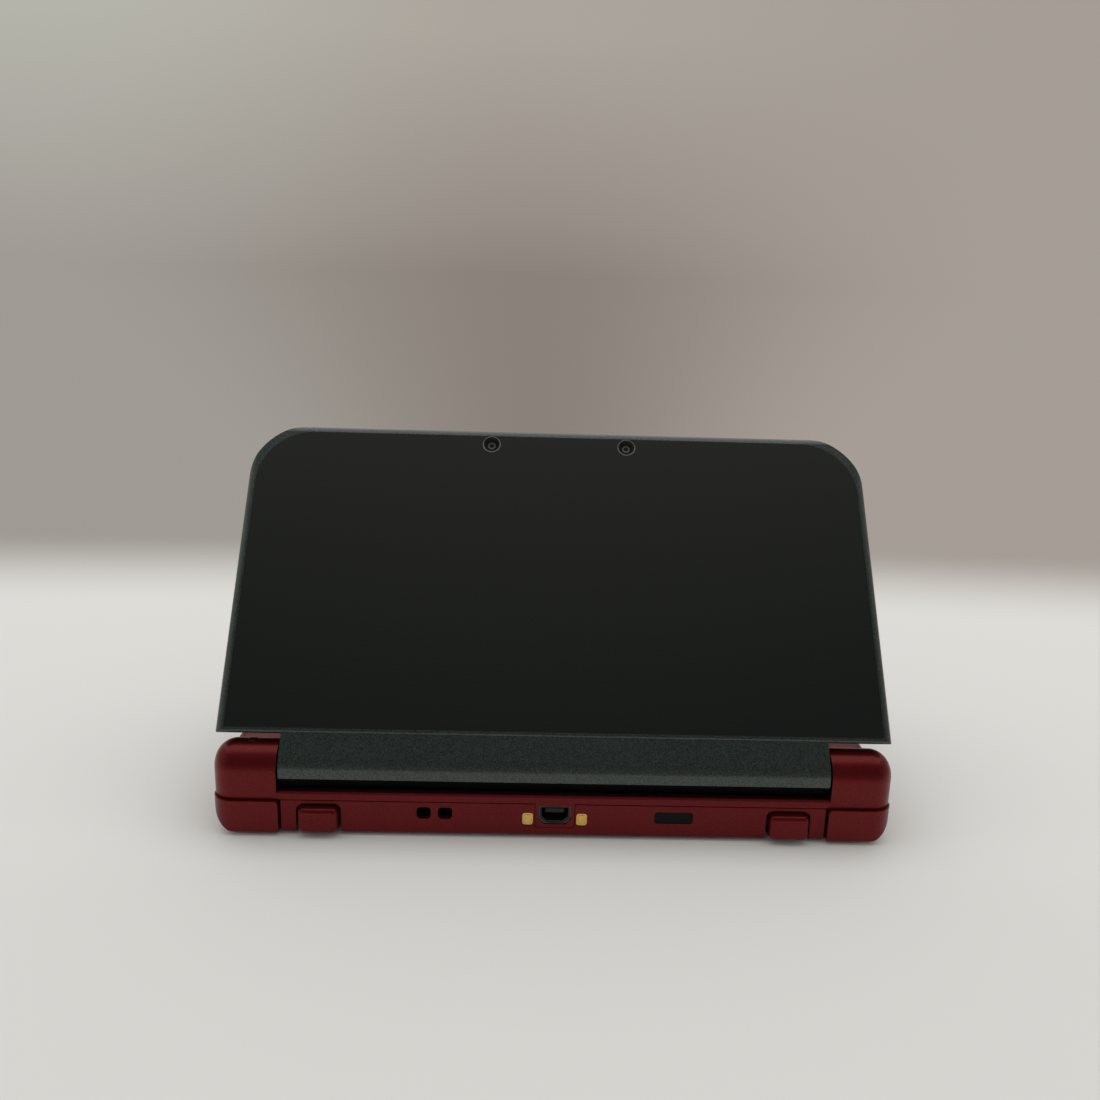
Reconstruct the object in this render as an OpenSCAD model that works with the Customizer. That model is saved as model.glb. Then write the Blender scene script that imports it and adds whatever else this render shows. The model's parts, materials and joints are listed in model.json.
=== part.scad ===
// Clamshell handheld game console, in millimetres.
// Origin: centre of the footprint on the table. +X is the player's right,
// +Y points to the hinge side and +Z is up. The lid stands part open at rest.

/* [Lower half] */
// Overall width of both halves
body_w = 160; // [146:0.5:174]
// Depth of the lower half, from its front face to its back wall
body_d = 93.5; // [86:0.5:102]
// Radius of the two front corners, seen from above
front_corner_r = 16.5; // [12:0.5:18]
// Radius of the two back corners, seen from above
back_corner_r = 5; // [3:0.25:6]
// Rounding along the bottom of the left and right sides
side_round = 7.2; // [5:0.1:7.6]
// Rounding along the bottom of the front edge
front_round = 2.4; // [1:0.1:3]
// Rounding along the bottom of the back edge
back_round = 1.2; // [0.6:0.1:1.6]
// Rounding along the top edge of the lower half
top_round = 1; // [0.4:0.1:1.2]
// Thickness of the moulded walls
wall = 1.4; // [1.2:0.1:1.6]
// Height of the rubber feet
foot_h = 0.5; // [0.3:0.1:0.8]
// Height of the seam between the bottom cover and the housing
seam_z = 9; // [8.8:0.1:9.4]
// Height of the back wall between the knuckles
ledge_z = 10.9; // [10.5:0.1:11.2]
// Height of the deck that carries the controls
deck_z = 13.3; // [13:0.1:13.8]
// Thickness of the deck panel
deck_t = 1.2; // [1:0.1:1.3]

/* [Hinge] */
// Height of the hinge axis
hinge_z = 15.5; // [15.2:0.1:16]
// Distance of the hinge axis from the back wall
hinge_in = 6; // [5.9:0.1:6.4]
// Radius of the lid's barrel
barrel_r = 5.7; // [5.5:0.05:5.75]
// Width of each knuckle, with its clearance to the lid's barrel
knuckle_w = 15.6; // [15.3:0.1:17]
// Side clearance between the barrel and each knuckle
barrel_gap = 0.4; // [0.2:0.1:0.8]
// Radial clearance between the barrel and its trough
trough_gap = 0.8; // [0.7:0.05:0.9]
// Radius of the hinge pins
pin_r = 1.9; // [1.5:0.1:2.2]
// Radial running clearance of the pins and other shafts
run_gap = 0.05; // [0.02:0.01:0.09]
// How far the lid stands open at rest, in degrees from closed
rest_open = 53; // [20:1:100]
// Rounding at the outer end of each knuckle
knuckle_round = 5; // [3:0.25:5.5]

/* [Lid] */
// Thickness of the lid
lid_t = 7.8; // [7.6:0.1:8.2]
// Gap between the closed lid and the deck
lid_gap = 0.4; // [0.3:0.1:0.6]
// Distance from the hinge axis to the start of the lid's slab, at its outer face
lid_start = 5.4; // [5.2:0.05:5.8]
// How far the hinge-side end of the slab slopes back, down to its inner face
lid_undercut = 2.8; // [2.6:0.1:3.1]
// Width of the rounded metallic rim around the glossy plate
rim_w = 2.2; // [1.5:0.1:2.8]
// Thickness of the glossy plate
plate_t = 1.2; // [0.8:0.1:1.4]
// Height of the inner bezel's share of the lid's side
bezel_h = 1.6; // [1.4:0.1:1.8]
// Depth of the inner face below the bezel's raised rim
inner_recess = 0.6; // [0.5:0.1:0.8]
// Width of the border beside the upper screen, out to the lid's side
screen_side = 26.9; // [26:0.1:30]
// Width of the border above and below the upper screen
screen_end = 9.2; // [8.8:0.1:11]
// Distance between the two outer cameras
camera_pitch = 35.4; // [30:0.2:45]
// Radius of each outer camera's barrel
camera_r = 2.4; // [2:0.05:2.5]
// Distance of the cameras from the lid's free edge
camera_in = 4.5; // [3.8:0.1:5.5]

/* [Deck controls] */
// Width of the field of controls on each side of the touch screen
touch_side = 37.5; // [36:0.25:40]
// Distance from the front face to the touch screen
touch_front = 12.8; // [12.5:0.1:16]
// Width of the frame around the touch screen
bezel_w = 2.6; // [2:0.1:3]
// Distance of the face buttons and of the two pads from the side face
control_in = 18; // [17.8:0.1:18.2]
// Distance of the face buttons and circle pad from the barrel's trough
upper_in = 19; // [18.6:0.1:19.6]
// Distance from the circle pad to the directional pad in front of it
pad_pitch = 28; // [27:0.1:30]
// Radius of a face button
face_r = 4.1; // [3.6:0.1:4.3]
// Distance of each face button from the centre of the four
face_pitch = 6.7; // [6.4:0.1:6.9]
// How far the buttons stand above the deck
button_proud = 0.7; // [0.4:0.1:0.7]
// Press travel of the deck buttons
button_travel = 0.8; // [0.5:0.1:0.8]
// Clearance around each button in its hole
button_gap = 0.25; // [0.2:0.05:0.4]
// Radius of the circle pad's thumb rest
pad_r = 7.6; // [7:0.1:7.8]
// How far the directional pad stands above the deck
dpad_proud = 0.4; // [0.2:0.1:0.5]
// Sideways travel of the circle pad from its centre
pad_travel = 2.6; // [2:0.1:2.6]
// Span of the directional pad
dpad_span = 20.6; // [18:0.2:21]
// Width of each arm of the directional pad
dpad_arm = 7; // [6:0.1:7.4]

/* [Back wall] */
// Width of the shoulder buttons, from the side face inwards
shoulder_w = 15.6; // [15:0.1:16]
// How far a shoulder button runs forward along the side
shoulder_d = 12.5; // [12:0.1:13.5]
// How far the shoulder buttons stand out of the back wall
shoulder_proud = 1; // [0.6:0.1:1.2]
// Distance of each inner trigger's centre from the side face
trigger_side = 24.85; // [24.5:0.05:25.2]
// Width of each inner trigger
trigger_w = 9.3; // [8.8:0.1:9.6]
// How far the inner triggers stand out of the back wall
trigger_proud = 2; // [1.5:0.1:2.4]
// Press travel of the inner triggers
trigger_travel = 1; // [0.5:0.1:1.1]
// Width of the charging port
port_w = 7.5; // [7:0.1:7.8]
// Sideways place of the strap lug
strap_x = 28.2; // [26:0.2:34]
// Width of each strap hole
strap_hole_w = 3.3; // [2.8:0.1:3.4]
// Sideways place of the infrared window
ir_x = -28; // [-34:0.2:-26]
// Width of the infrared window
ir_w = 9; // [7:0.2:10]

/* [Front edge] */
// Width of a game card
card_w = 33; // [32:0.5:33.5]
// Length of a game card
card_l = 35; // [33:0.5:35.5]
// Height of the game card slot
card_h = 4.3; // [4.2:0.05:4.4]
// Radius of the headphone jack's bore
jack_r = 1.8; // [1.7:0.05:1.9]
// Length of the headphone jack's bore
jack_l = 14; // [12:0.5:14.5]
// Distance from the tip of the stylus to the back wall
stylus_short = 8.5; // [7.5:0.5:20]
// Radius of the stylus
stylus_r = 2.2; // [1.8:0.05:2.2]

/* [Inside] */
// Depth of the main board behind the battery
main_board_d = 20.5; // [19:0.5:24]
// Clearance around the battery
battery_gap = 1.5; // [1:0.25:4]
// Thickness of the circuit boards
board_t = 1; // [0.8:0.1:1.2]
// Radius of the housing's screw bosses
boss_r = 2.6; // [2.2:0.1:2.8]

/* [Hidden] */
$fn = 64;
eps = 0.01;
small_gap = 0.1;
fit_gap = 0.05;

back_y = body_d / 2 - trigger_proud / 2;
front_y = back_y - body_d;
hinge_y = back_y - hinge_in;
floor_z = foot_h + wall;
half_w = body_w / 2;
deck_under = deck_z - deck_t;
plate_z = 7.4;
mid_t = 0.8;
shelf_z = plate_z + mid_t;
skirt_t = 1;
trough_r = barrel_r + trough_gap;
trough_wall = 1.2;
trough_front = hinge_y - trough_r - trough_wall;
trough_under = seam_z - 1.2;
knuckle_x = half_w - knuckle_w + barrel_gap;
barrel_half = knuckle_x - barrel_gap;
knuckle_drop = 0.3;

lid_in_z = deck_z + lid_gap;
lid_out_z = lid_in_z + lid_t;
lid_y = hinge_y - lid_start;
lid_split = lid_in_z + bezel_h;
lid_face = lid_in_z + inner_recess;
lid_wall = 1.2;
lid_top_t = 1;
lid_top_in = lid_out_z - plate_t - lid_top_t;
lid_end_r = 1.5;
lid_edge_r = 0.9;
barrel_wall = 1;
barrel_disc_t = 2;
cover_from = -166;
cover_to = 37;

deck_back = trough_front - small_gap;
shelf_back = back_y - shoulder_d - 1.9;
deck_seat_t = 0.4;
deck_rear_rim = 0.6;
touch_w = body_w - 2 * touch_side;
touch_h = deck_back - deck_rear_rim - bezel_w - front_y - touch_front;
touch_y = front_y + touch_front + touch_h / 2;
home_y = front_y + touch_front - bezel_w - 4.6;
screen_w = body_w - 2 * screen_side;
screen_h = lid_y - front_y - 2 * screen_end;
lens_y = (lid_y + front_y) / 2 - 0.1;
lens_border = 4.4;
lens_t = 0.7;
speaker_pitch = 2.4;
camera_floor = lid_out_z - 1.1;
camera_window_r = 1.3;
cap_t = 0.6;
inner_camera_y = front_y + 3.2;

jack_z = 4.7;
card_x = 33.5 - half_w;
card_z = 2.5;
inner_front = front_y + max(wall, front_round) + small_gap;
foot_r = 2.7;
foot_sink = 0.4;
card_cage_t = 0.6;
card_back = front_y + wall + card_l + 2;
stylus_x = card_x + 24.5;
stylus_l = body_d - stylus_short;
stylus_cap_r = stylus_r + 0.3;
power_x = half_w - 28;
button_flange = 0.5;
button_base = deck_under - 1.9;
port_z0 = 3.8;
port_z1 = 8.3;
tab_half = port_w / 2 + 0.85;
boss_x = half_w - 9.8;
trigger_z0 = 1.3;
trigger_gap = 0.6;
trigger_z1 = 7.5;
trigger_in = 4.5;
shoulder_z0 = floor_z - 0.3;
shoulder_low = foot_h;
shoulder_edge = half_w - side_round + 1.2;
seam_groove = 0.2;
tab_gap = 0.12;
shoulder_z1 = seam_z - 0.15;
shoulder_pin_r = 0.75;
shoulder_t = 1.3;
trigger_x = half_w - trigger_side;
shoulder_x = half_w - shoulder_w;
shoulder_pin_x = shoulder_x + 2.4;
shoulder_pin_y = back_y - 4.2;
switch_x = half_w - 8.2;

control_x = half_w - control_in;
upper_y = trough_front - upper_in;
dpad_y = upper_y - pad_pitch;
start_pos = [control_x - 5, upper_y - 25.5];
select_pos = [control_x - 5, upper_y - 34];
small_button_r = 2.4;
c_stick_pos = [touch_w / 2 + bezel_w + 5.8, trough_front - 4.85];
slider_y = lid_y - 15;
slider_travel = 9;
bolt_front = front_y + 19.75;
bolt_back = back_y - 27.75;
bolt_spots = [[-boss_x, bolt_front], [-boss_x, bolt_back], [boss_x, bolt_front], [boss_x, bolt_back],
    [power_x - 30, front_y + 7.75]];

// ---------- shared shapes ----------

// Box between two corners.
module span(low, high) {
    translate(low) cube(high - low);
}

// Rectangle between two corners with its four corners rounded by r.
module round_rect(low, high, r) {
    union() {
        translate([low[0] + r, low[1]]) square([high[0] - low[0] - 2 * r, high[1] - low[1]]);
        translate([low[0], low[1] + r]) square([high[0] - low[0], high[1] - low[1] - 2 * r]);
        for (x = [low[0] + r, high[0] - r], y = [low[1] + r, high[1] - r])
            translate([x, y]) circle(r);
    }
}

// Slot outline, lying along X, with half-round ends.
module pill(x, y, half, r) {
    union() {
        translate([x - half + r, y - r]) square([2 * half - 2 * r, 2 * r]);
        for (side = [-1, 1])
            translate([x + side * (half - r), y]) circle(r);
    }
}

// Rectangle whose two lower corners have radius r_low and two upper ones r_high.
module two_radius_rect(low, high, r_low, r_high) {
    mid = (low[1] + high[1]) / 2;
    union() {
        intersection() {
            round_rect(low, [high[0], high[1] + r_low], r_low);
            translate([low[0], low[1]]) square([high[0] - low[0], mid - low[1]]);
        }
        intersection() {
            round_rect([low[0], low[1] - r_high], high, r_high);
            translate([low[0], mid]) square([high[0] - low[0], high[1] - mid]);
        }
    }
}

// Upright plate with rounded corners.
module plate(low, high, z0, z1, r) {
    translate([0, 0, z0]) linear_extrude(z1 - z0) round_rect(low, high, r);
}

// Extrudes an XZ outline along Y, from y0 to y1.
module along_y(y0, y1) {
    translate([0, y1, 0]) rotate([90, 0, 0]) linear_extrude(y1 - y0) children();
}

// Extrudes a YZ outline along X, from x0 to x1.
module along_x(x0, x1) {
    translate([x0, 0, 0]) rotate([90, 0, 90]) linear_extrude(x1 - x0) children();
}

// Rod along X, centred on a point of the YZ plane.
module rod_x(x0, x1, y, z, r) {
    translate([x0, y, z]) rotate([0, 90, 0]) cylinder(h = x1 - x0, r = r);
}

// Rod along Y, centred on a point of the XZ plane.
module rod_y(y0, y1, x, z, r) {
    translate([x, y1, z]) rotate([90, 0, 0]) cylinder(h = y1 - y0, r = r);
}

// Part of a tube around the hinge axis, between two angles counted from +Y towards +Z.
module hinge_arc(r0, r1, a0, a1, half) {
    translate([-half, hinge_y, hinge_z]) rotate([0, 90, 0]) rotate([0, 0, 90 + a0])
        rotate_extrude(angle = a1 - a0, $fn = 96)
            translate([r0, 0]) square([r1 - r0, 2 * half]);
}

// Solid of the lower half's outline, drawn in by inset, between two heights.
module lower_block(inset, z0, z1) {
    x = half_w - inset;
    y0 = front_y + inset;
    y1 = back_y - inset;
    low = foot_h + inset;
    high = deck_z + 20;
    intersection() {
        translate([0, 0, z0]) linear_extrude(z1 - z0)
            two_radius_rect([-x, y0], [x, y1], front_corner_r - inset, max(0.4, back_corner_r - inset));
        along_y(y0 - 1, y1 + 1)
            two_radius_rect([-x, low], [x, high], side_round - inset, 1);
        along_x(-x - 1, x + 1) union() {
            round_rect([y0, low], [y1 - 8, high], max(0.4, front_round - inset));
            round_rect([y0 + 8, low], [y1, high], max(0.3, back_round - inset));
        }
    }
}

// Solid of the closed lid's outline, drawn in by inset, between two heights.
module lid_block(inset, z0, z1) {
    x = half_w - inset;
    y0 = front_y + inset;
    y1 = lid_y - inset;
    r_out = max(0.4, rim_w - inset);
    intersection() {
        translate([0, 0, z0]) linear_extrude(z1 - z0)
            two_radius_rect([-x, y0], [x, y1], front_corner_r - inset, max(0.4, lid_end_r - inset));
        along_y(y0 - 1, y1 + 1)
            two_radius_rect([-x, lid_in_z - 9], [x, lid_out_z - inset], 1, r_out);
        along_x(-x - 1, x + 1) union() {
            round_rect([y0, lid_in_z - 9], [y1 - 8, lid_out_z - inset], r_out);
            lid_end(y1, lid_out_z - inset, y0 + 8);
        }
    }
}

// How far the slab's sloping end is back from its outer edge at height z.
function end_back(z) = (lid_out_z - z) * lid_undercut / lid_t;

// Side view of the slab's hinge-side end, up to y1 and z1, its upper edge rounded.
module lid_end(y1, z1, y0) {
    low = lid_in_z - 3;
    a = atan(lid_undercut / lid_t);
    r = lid_edge_r;
    top = y1 - end_back(z1);
    round_y = top - r * (1 + sin(a)) / cos(a);
    union() {
        polygon([[y0, low], [y1 - end_back(low), low],
            [round_y + r * cos(a), z1 - r - r * sin(a)], [round_y, z1], [y0, z1]]);
        translate([round_y, z1 - r]) circle(r);
    }
}

// Turns what is drawn closed to where the lid stands at rest.
module at_rest() {
    translate([0, hinge_y, hinge_z]) rotate([-rest_open, 0, 0])
        translate([0, -hinge_y, -hinge_z]) children();
}

// Repeats on both sides.
module both_sides() {
    children();
    mirror([1, 0, 0]) children();
}

// ---------- lower half: covers ----------

// Openings that the bottom cover's front wall shares with the parts behind it.
module front_openings(gap) {
    y0 = front_y - 1;
    y1 = front_y + wall + 1;
    half = card_w / 2 + 0.4 + gap;
    span([card_x - half, y0, card_z - gap], [card_x + half, y1, card_z + card_h + gap]);
    rod_y(y0, y1, stylus_x, jack_z, stylus_cap_r + small_gap + gap);
    rod_y(y0, y1, 0, jack_z, jack_r + 1.2 + gap);
    along_y(y0, y1) power_outline(button_gap + gap);
    for (x = light_spots())
        rod_y(y0, y1, x, jack_z + 1, 0.6 + gap);
}

function light_spots() = [power_x + 8, power_x + 11.5];

// Outline of the power button in the front wall.
module power_outline(gap) {
    pill(power_x, jack_z, 4 + gap, 1.5 + gap);
}

// Outline of a trigger in the back wall, grown by gap.
module trigger_outline(gap) {
    half = trigger_w / 2;
    round_rect([trigger_x - half - gap, trigger_z0 - gap],
        [trigger_x + half + gap, trigger_z1 + gap], 1.2 + gap);
}

// Outline of the charging port: square above, with cut lower corners.
module port_outline(gap) {
    x = port_w / 2 + gap;
    cut = 1.3;
    polygon([[-x, port_z0 + cut], [-x + cut, port_z0 - gap], [x - cut, port_z0 - gap], [x, port_z0 + cut],
        [x, port_z1 + gap], [-x, port_z1 + gap]]);
}

// Where the shoulder buttons take the corners of the bottom cover away. A tongue of floor stays.
module shoulder_bay() {
    x = shoulder_x - 0.5;
    y = back_y - shoulder_d - 1;
    span([x, y, shoulder_z0 - small_gap], [half_w + 5, back_y + 5, seam_z + 1]);
    span([x, back_y - shoulder_t - 1, -1], [half_w + 5, back_y + 5, seam_z]);
    span([shoulder_edge - 0.7, y, -1], [half_w + 5, back_y + 5, seam_z]);
}

module strap_holes() {
    bar = 1.7;
    along_y(back_y - wall - 3.2, back_y + 1)
        for (side = [-1, 1])
            round_rect([strap_x + side * (bar + strap_hole_w) / 2 - strap_hole_w / 2, 4.65],
                [strap_x + side * (bar + strap_hole_w) / 2 + strap_hole_w / 2, 7.6], 0.9);
}

module bottom_cover() color([0.30, 0.09, 0.10]) difference() {
    union() {
        difference() {
            union() {
                lower_block(0, foot_h, seam_z - seam_groove);
                lower_block(2 * seam_groove, seam_z - 1, seam_z);
            }
            lower_block(wall, floor_z, seam_z + 1);
            both_sides() shoulder_bay();
        }
        // Pocket behind the strap holes.
        span([strap_x - 5.2, back_y - wall - 4.2, 3.65], [strap_x + 5.2, back_y - wall + eps, 7.75]);
    }
    strap_holes();
    span([strap_x - strap_hole_w - 0.85, back_y - wall - 3.2, 4.65],
        [strap_x + strap_hole_w + 0.85, back_y - wall, 7.6]);
    for (spot = foot_spots())
        translate([spot[0], spot[1], 0]) cylinder(h = foot_h + foot_sink, r = foot_r + fit_gap);
    front_openings(0);
    // Notch for the housing's tab around the charging port.
    along_y(back_y - wall - 1, back_y + 1)
        round_rect([-tab_half - tab_gap, port_z0 - 0.85 - tab_gap], [tab_half + tab_gap, seam_z + 3], 0.8);
    // Trigger bays, open below.
    both_sides() union() {
        along_y(back_y - trigger_in - trigger_travel - 0.6, back_y + 5) trigger_outline(trigger_gap);
        span([trigger_x - trigger_w / 2 - trigger_gap, back_y - trigger_in - trigger_travel - 0.6, -1],
            [trigger_x + trigger_w / 2 + trigger_gap, back_y + 5, trigger_z0 + 1.3]);
    }
    contact_shapes(fit_gap, back_y + 1);
    ir_shape(fit_gap, back_y + 1);
    for (spot = bolt_spots)
        translate([spot[0], spot[1], 0]) screw_clearance();
}

// Hole and head recess for one cover screw.
module screw_clearance() {
    cylinder(h = 5, r = 1.15);
    cylinder(h = foot_h + 0.7, r = 2.1);
}

function foot_spots() = [for (side = [-1, 1], spot = [[14, front_y + 11.75], [22, back_y - 12.75]])
    [side * (half_w - spot[0]), spot[1]]];

module lower_housing() color([0.30, 0.09, 0.10]) difference() {
    union() {
        housing_rim();
        housing_skirt();
        housing_shelf();
        trough_block();
        both_sides() knuckle();
        // Tab around the charging port.
        along_y(back_y - wall, back_y)
            round_rect([-tab_half, port_z0 - 0.85], [tab_half, ledge_z - 1], 0.8);
        for (spot = bolt_spots)
            translate([spot[0], spot[1], floor_z]) cylinder(h = plate_z - floor_z + eps, r = boss_r);
    }
    // Trough for the lid's barrel.
    rod_x(-knuckle_x, knuckle_x, hinge_y, hinge_z, trough_r);
    span([-knuckle_x, hinge_y - trough_r + 0.4, ledge_z + 2.41], [knuckle_x, back_y + 5, hinge_z + 10]);
    along_y(back_y - 12, back_y + 1) port_outline(fit_gap);
    both_sides() rod_x(knuckle_x - 1, half_w - 4, hinge_y, hinge_z, bush_r() + fit_gap);
    for (spot = bolt_spots)
        translate([spot[0], spot[1], 0]) cylinder(h = plate_z + mid_t + 1, r = 0.85);
    rod_y(front_y - 1, front_y + stylus_l + 0.5, stylus_x, jack_z, stylus_r + small_gap);
    rod_y(front_y - 1, front_y + 4, stylus_x, jack_z, stylus_cap_r + small_gap);
    status_light(fit_gap, hinge_z + 10);
}

function bush_r() = pin_r + 1.4;

// Upper wall of the lower half, from the seam to the deck, with the deck's seat inside.
module housing_rim() {
    difference() {
        intersection() {
            lower_block(0, seam_z, deck_z);
            along_y(front_y - 1, back_y + 1)
                two_radius_rect([-half_w, 0], [half_w, deck_z], 1, top_round);
            along_x(-half_w - 1, half_w + 1)
                round_rect([front_y, 0], [back_y + 9, deck_z], top_round);
        }
        lower_block(wall, seam_z - 1, deck_under + 5);
        span([-body_w, hinge_y - 4, seam_z - 1], [body_w, back_y + 5, deck_z + 5]);
    }
    difference() {
        lower_block(wall - eps, deck_under - deck_seat_t, deck_under);
        lower_block(wall + 1.2, deck_under - 2, deck_under + 1);
        span([-body_w, trough_front, 0], [body_w, back_y + 5, deck_z + 5]);
    }
}

// Lip of the housing that fits inside the bottom cover.
module housing_skirt() {
    difference() {
        lower_block(wall + small_gap, plate_z, seam_z);
        lower_block(wall + small_gap + skirt_t, plate_z - 1, seam_z + 1);
        span([-body_w, back_y - shoulder_d - 2, 0], [body_w, back_y + 5, seam_z + 5]);
    }
    // Bridge between the lip and the rim above it.
    difference() {
        lower_block(wall - eps, seam_z, seam_z + 1.2);
        lower_block(wall + small_gap + skirt_t, seam_z - 1, seam_z + 3);
        span([-body_w, back_y - shoulder_d - 2, 0], [body_w, back_y + 5, seam_z + 5]);
    }
}

// Floor inside the housing that carries the boards, the screen and the mechanisms.
module housing_shelf() {
    difference() {
        lower_block(wall + small_gap + eps, plate_z, shelf_z);
        span([-body_w, shelf_back, 0], [body_w, back_y + 5, seam_z + 5]);
    }
    // Stylus channel.
    half = stylus_cap_r + 0.7;
    span([stylus_x - half, inner_front, floor_z + small_gap],
        [stylus_x + half, front_y + stylus_l + 1.5, plate_z + eps]);
    // Pads that the boards hang from.
    for (spot = board_pads())
        translate([spot[0], spot[1], plate_z - 0.2]) cylinder(h = 0.2 + eps, r = 1.4);
    // Ribs under the lower screen.
    for (x = touch_w * [-0.35, 0, 0.35])
        span([x - 1, touch_y - touch_h / 2 + 4, shelf_z - eps], [x + 1, touch_y + touch_h / 2 - 4, lcd_z0()]);
    // Post under the rocking pad.
    translate([-control_x, dpad_y, shelf_z - eps]) cylinder(h = 0.8 + eps, r = 1.2);
}

function lcd_z0() = shelf_z + 0.7;
function board_pads() = [
    for (x = [6, 34], y = [pad_board_front + 4, board_back - 5]) [x - board_x, y],
    for (spot = [[14, board_front_y + 7.5], [14, board_back - 5], [4, board_front_y + 48.5]])
        [board_x - spot[0], spot[1]],
    [stylus_x + 14, board_back - 11]];

// Block that the barrel's trough is cut in, with the back wall's ledge.
module trough_block() {
    low = knuckle_x + 2;
    under = shoulder_x - 0.6;
    span([-under, trough_front, trough_under], [under, back_y - wall - small_gap, seam_z + eps]);
    span([-low, trough_front, seam_z], [low, hinge_y, deck_z]);
    along_x(-low, low) polygon([[hinge_y - 1, seam_z], [back_y, seam_z], [back_y, ledge_z - 0.4],
        [back_y - 0.4, ledge_z], [hinge_y - 1, ledge_z]]);
    // Shelf joins the block.
    span([-under, trough_front - 1, plate_z], [under, trough_front + 2, seam_z + eps]);
}

// One knuckle: its upper half is turned about an axis, its outer edge rounded.
module knuckle() {
    r = hinge_in;
    axis_z = hinge_z - knuckle_drop;
    intersection() {
        union() {
            translate([0, hinge_y, axis_z]) rotate([0, 90, 0]) rotate([0, 0, 90])
                rotate_extrude(angle = 180, $fn = 96) intersection() {
                    round_rect([-r, knuckle_x - 2 * r], [r, half_w], knuckle_round);
                    translate([0, knuckle_x]) square([r, knuckle_w]);
                }
            intersection() {
                plate([knuckle_x - 2 * r, hinge_y - r], [half_w, back_y], seam_z, axis_z, knuckle_round);
                span([knuckle_x, front_y, seam_z], [half_w, back_y, axis_z]);
            }
            along_y(trough_front, hinge_y) intersection() {
                two_radius_rect([-half_w, 0], [half_w, deck_z], 1, top_round);
                translate([knuckle_x, seam_z]) square([knuckle_w, deck_z - seam_z]);
            }
        }
        lower_block(0, seam_z, hinge_z + 15);
    }
}

module deck_panel() color([0.26, 0.08, 0.09]) difference() {
    intersection() {
        lower_block(wall + small_gap, deck_under, deck_z);
        span([-body_w, front_y, 0], [body_w, deck_back, deck_z + 1]);
    }
    plate([-touch_w / 2 - 0.6, touch_y - touch_h / 2 - 0.6], [touch_w / 2 + 0.6, touch_y + touch_h / 2 + 0.6],
        deck_under - 1, deck_z + 1, 0.8);
    bezel_plate(fit_gap, deck_z - 0.7, deck_z + 1);
    for (i = [0:3])
        translate(face_spot(i)) cylinder(h = deck_z + 1, r = face_r + button_gap);
    for (spot = [start_pos, select_pos])
        translate(spot) cylinder(h = deck_z + 1, r = small_button_r + button_gap);
    translate([0, 0, deck_under - 1]) linear_extrude(deck_t + 2) home_outline(button_gap);
    translate(c_stick_pos) cylinder(h = deck_z + 1, r = 2.9);
    translate([-control_x, upper_y]) cylinder(h = deck_z + 1, r = pad_r + pad_travel + 0.6);
    translate([-control_x, dpad_y, deck_under - 1]) linear_extrude(deck_t + 2) dpad_outline(0.45);
}

function face_spot(i) = [control_x + face_pitch * cos(90 - 90 * i), upper_y + face_pitch * sin(90 - 90 * i), 0];

module home_outline(gap) {
    pill(0, home_y, 6.5 + gap, 2.2 + gap);
}

// Cross of the directional pad.
module dpad_outline(gap) {
    half = dpad_span / 2 + gap;
    arm = dpad_arm / 2 + gap;
    round_rect([-half, -arm], [half, arm], 1);
    round_rect([-arm, -half], [arm, half], 1);
}

module bezel_plate(gap, z0, z1) {
    x = touch_w / 2 + bezel_w + gap;
    y = touch_h / 2 + bezel_w + gap;
    plate([-x, touch_y - y], [x, touch_y + y], z0, z1, 2 + gap);
}

// ---------- lower half: screen and electronics ----------

module touch_bezel() color([0.05, 0.05, 0.06]) difference() {
    bezel_plate(0, deck_z - 0.7, deck_z);
    plate([-touch_w / 2, touch_y - touch_h / 2], [touch_w / 2, touch_y + touch_h / 2],
        deck_z - 2, deck_z + 1, 0.5);
}

module touch_panel() color([0.10, 0.11, 0.12])
    span([-touch_w / 2 - 1.5, touch_y - touch_h / 2 - 1.5, deck_under - 0.8],
        [touch_w / 2 + 1.5, touch_y + touch_h / 2 + 1.5, deck_under]);

module lower_lcd() color([0.6, 0.62, 0.64])
    span([-touch_w / 2 - 2.5, touch_y - touch_h / 2 - 2, lcd_z0()],
        [touch_w / 2 + 2.5, touch_y + touch_h / 2 + 2, deck_under - 0.8]);

board_top = plate_z - 0.2;
board_x = half_w - 14;
board_back = trough_front - 1;
board_front_y = front_y + 4.25;
pad_board_front = card_back + 2.35;
main_front = board_back - main_board_d;
wing_x = board_x - 17.5;
chip_t = 1.2;

// Board under the shelf on the right, with its chips on the lower face.
module main_board() color([0.08, 0.25, 0.14]) union() {
    z0 = board_top - board_t;
    span([stylus_x + 6, main_front, z0], [board_x, board_back, board_top]);
    span([wing_x, board_front_y, z0], [board_x, main_front + 1, board_top]);
    // Each chip: its centre and its width.
    middle = (main_front + board_back) / 2;
    for (chip = [[stylus_x + 22, middle, 12], [stylus_x + 38, middle, 9], [stylus_x + 54, middle, 10],
            [board_x - 9, board_front_y + 36, 9], [board_x - 9, middle, 11]])
        chip_block([chip[0], chip[1]], [chip[2], chip[2]], z0);
}

// A chip under a board whose lower face is at z0.
module chip_block(centre, size, z0) {
    span([centre[0] - size[0] / 2, centre[1] - size[1] / 2, z0 - chip_t],
        [centre[0] + size[0] / 2, centre[1] + size[1] / 2, z0 + eps]);
}

// Small board on the left, under the two pads.
module pad_board() color([0.08, 0.25, 0.14]) union() {
    z0 = board_top - board_t;
    span([-board_x, pad_board_front, z0], [card_x + 19.5, board_back, board_top]);
    chip_block([15 - board_x, pad_board_front + 17], [14, 12], z0);
}

// Flat cell in its wrap, between the stylus channel, the card socket and the main board.
module battery() color([0.16, 0.17, 0.20])
    plate([stylus_x + 5.5 + battery_gap, socket_back + 0.5 + battery_gap],
        [wing_x - battery_gap, main_front - battery_gap], floor_z, board_top - 0.1, 1.2);

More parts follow.
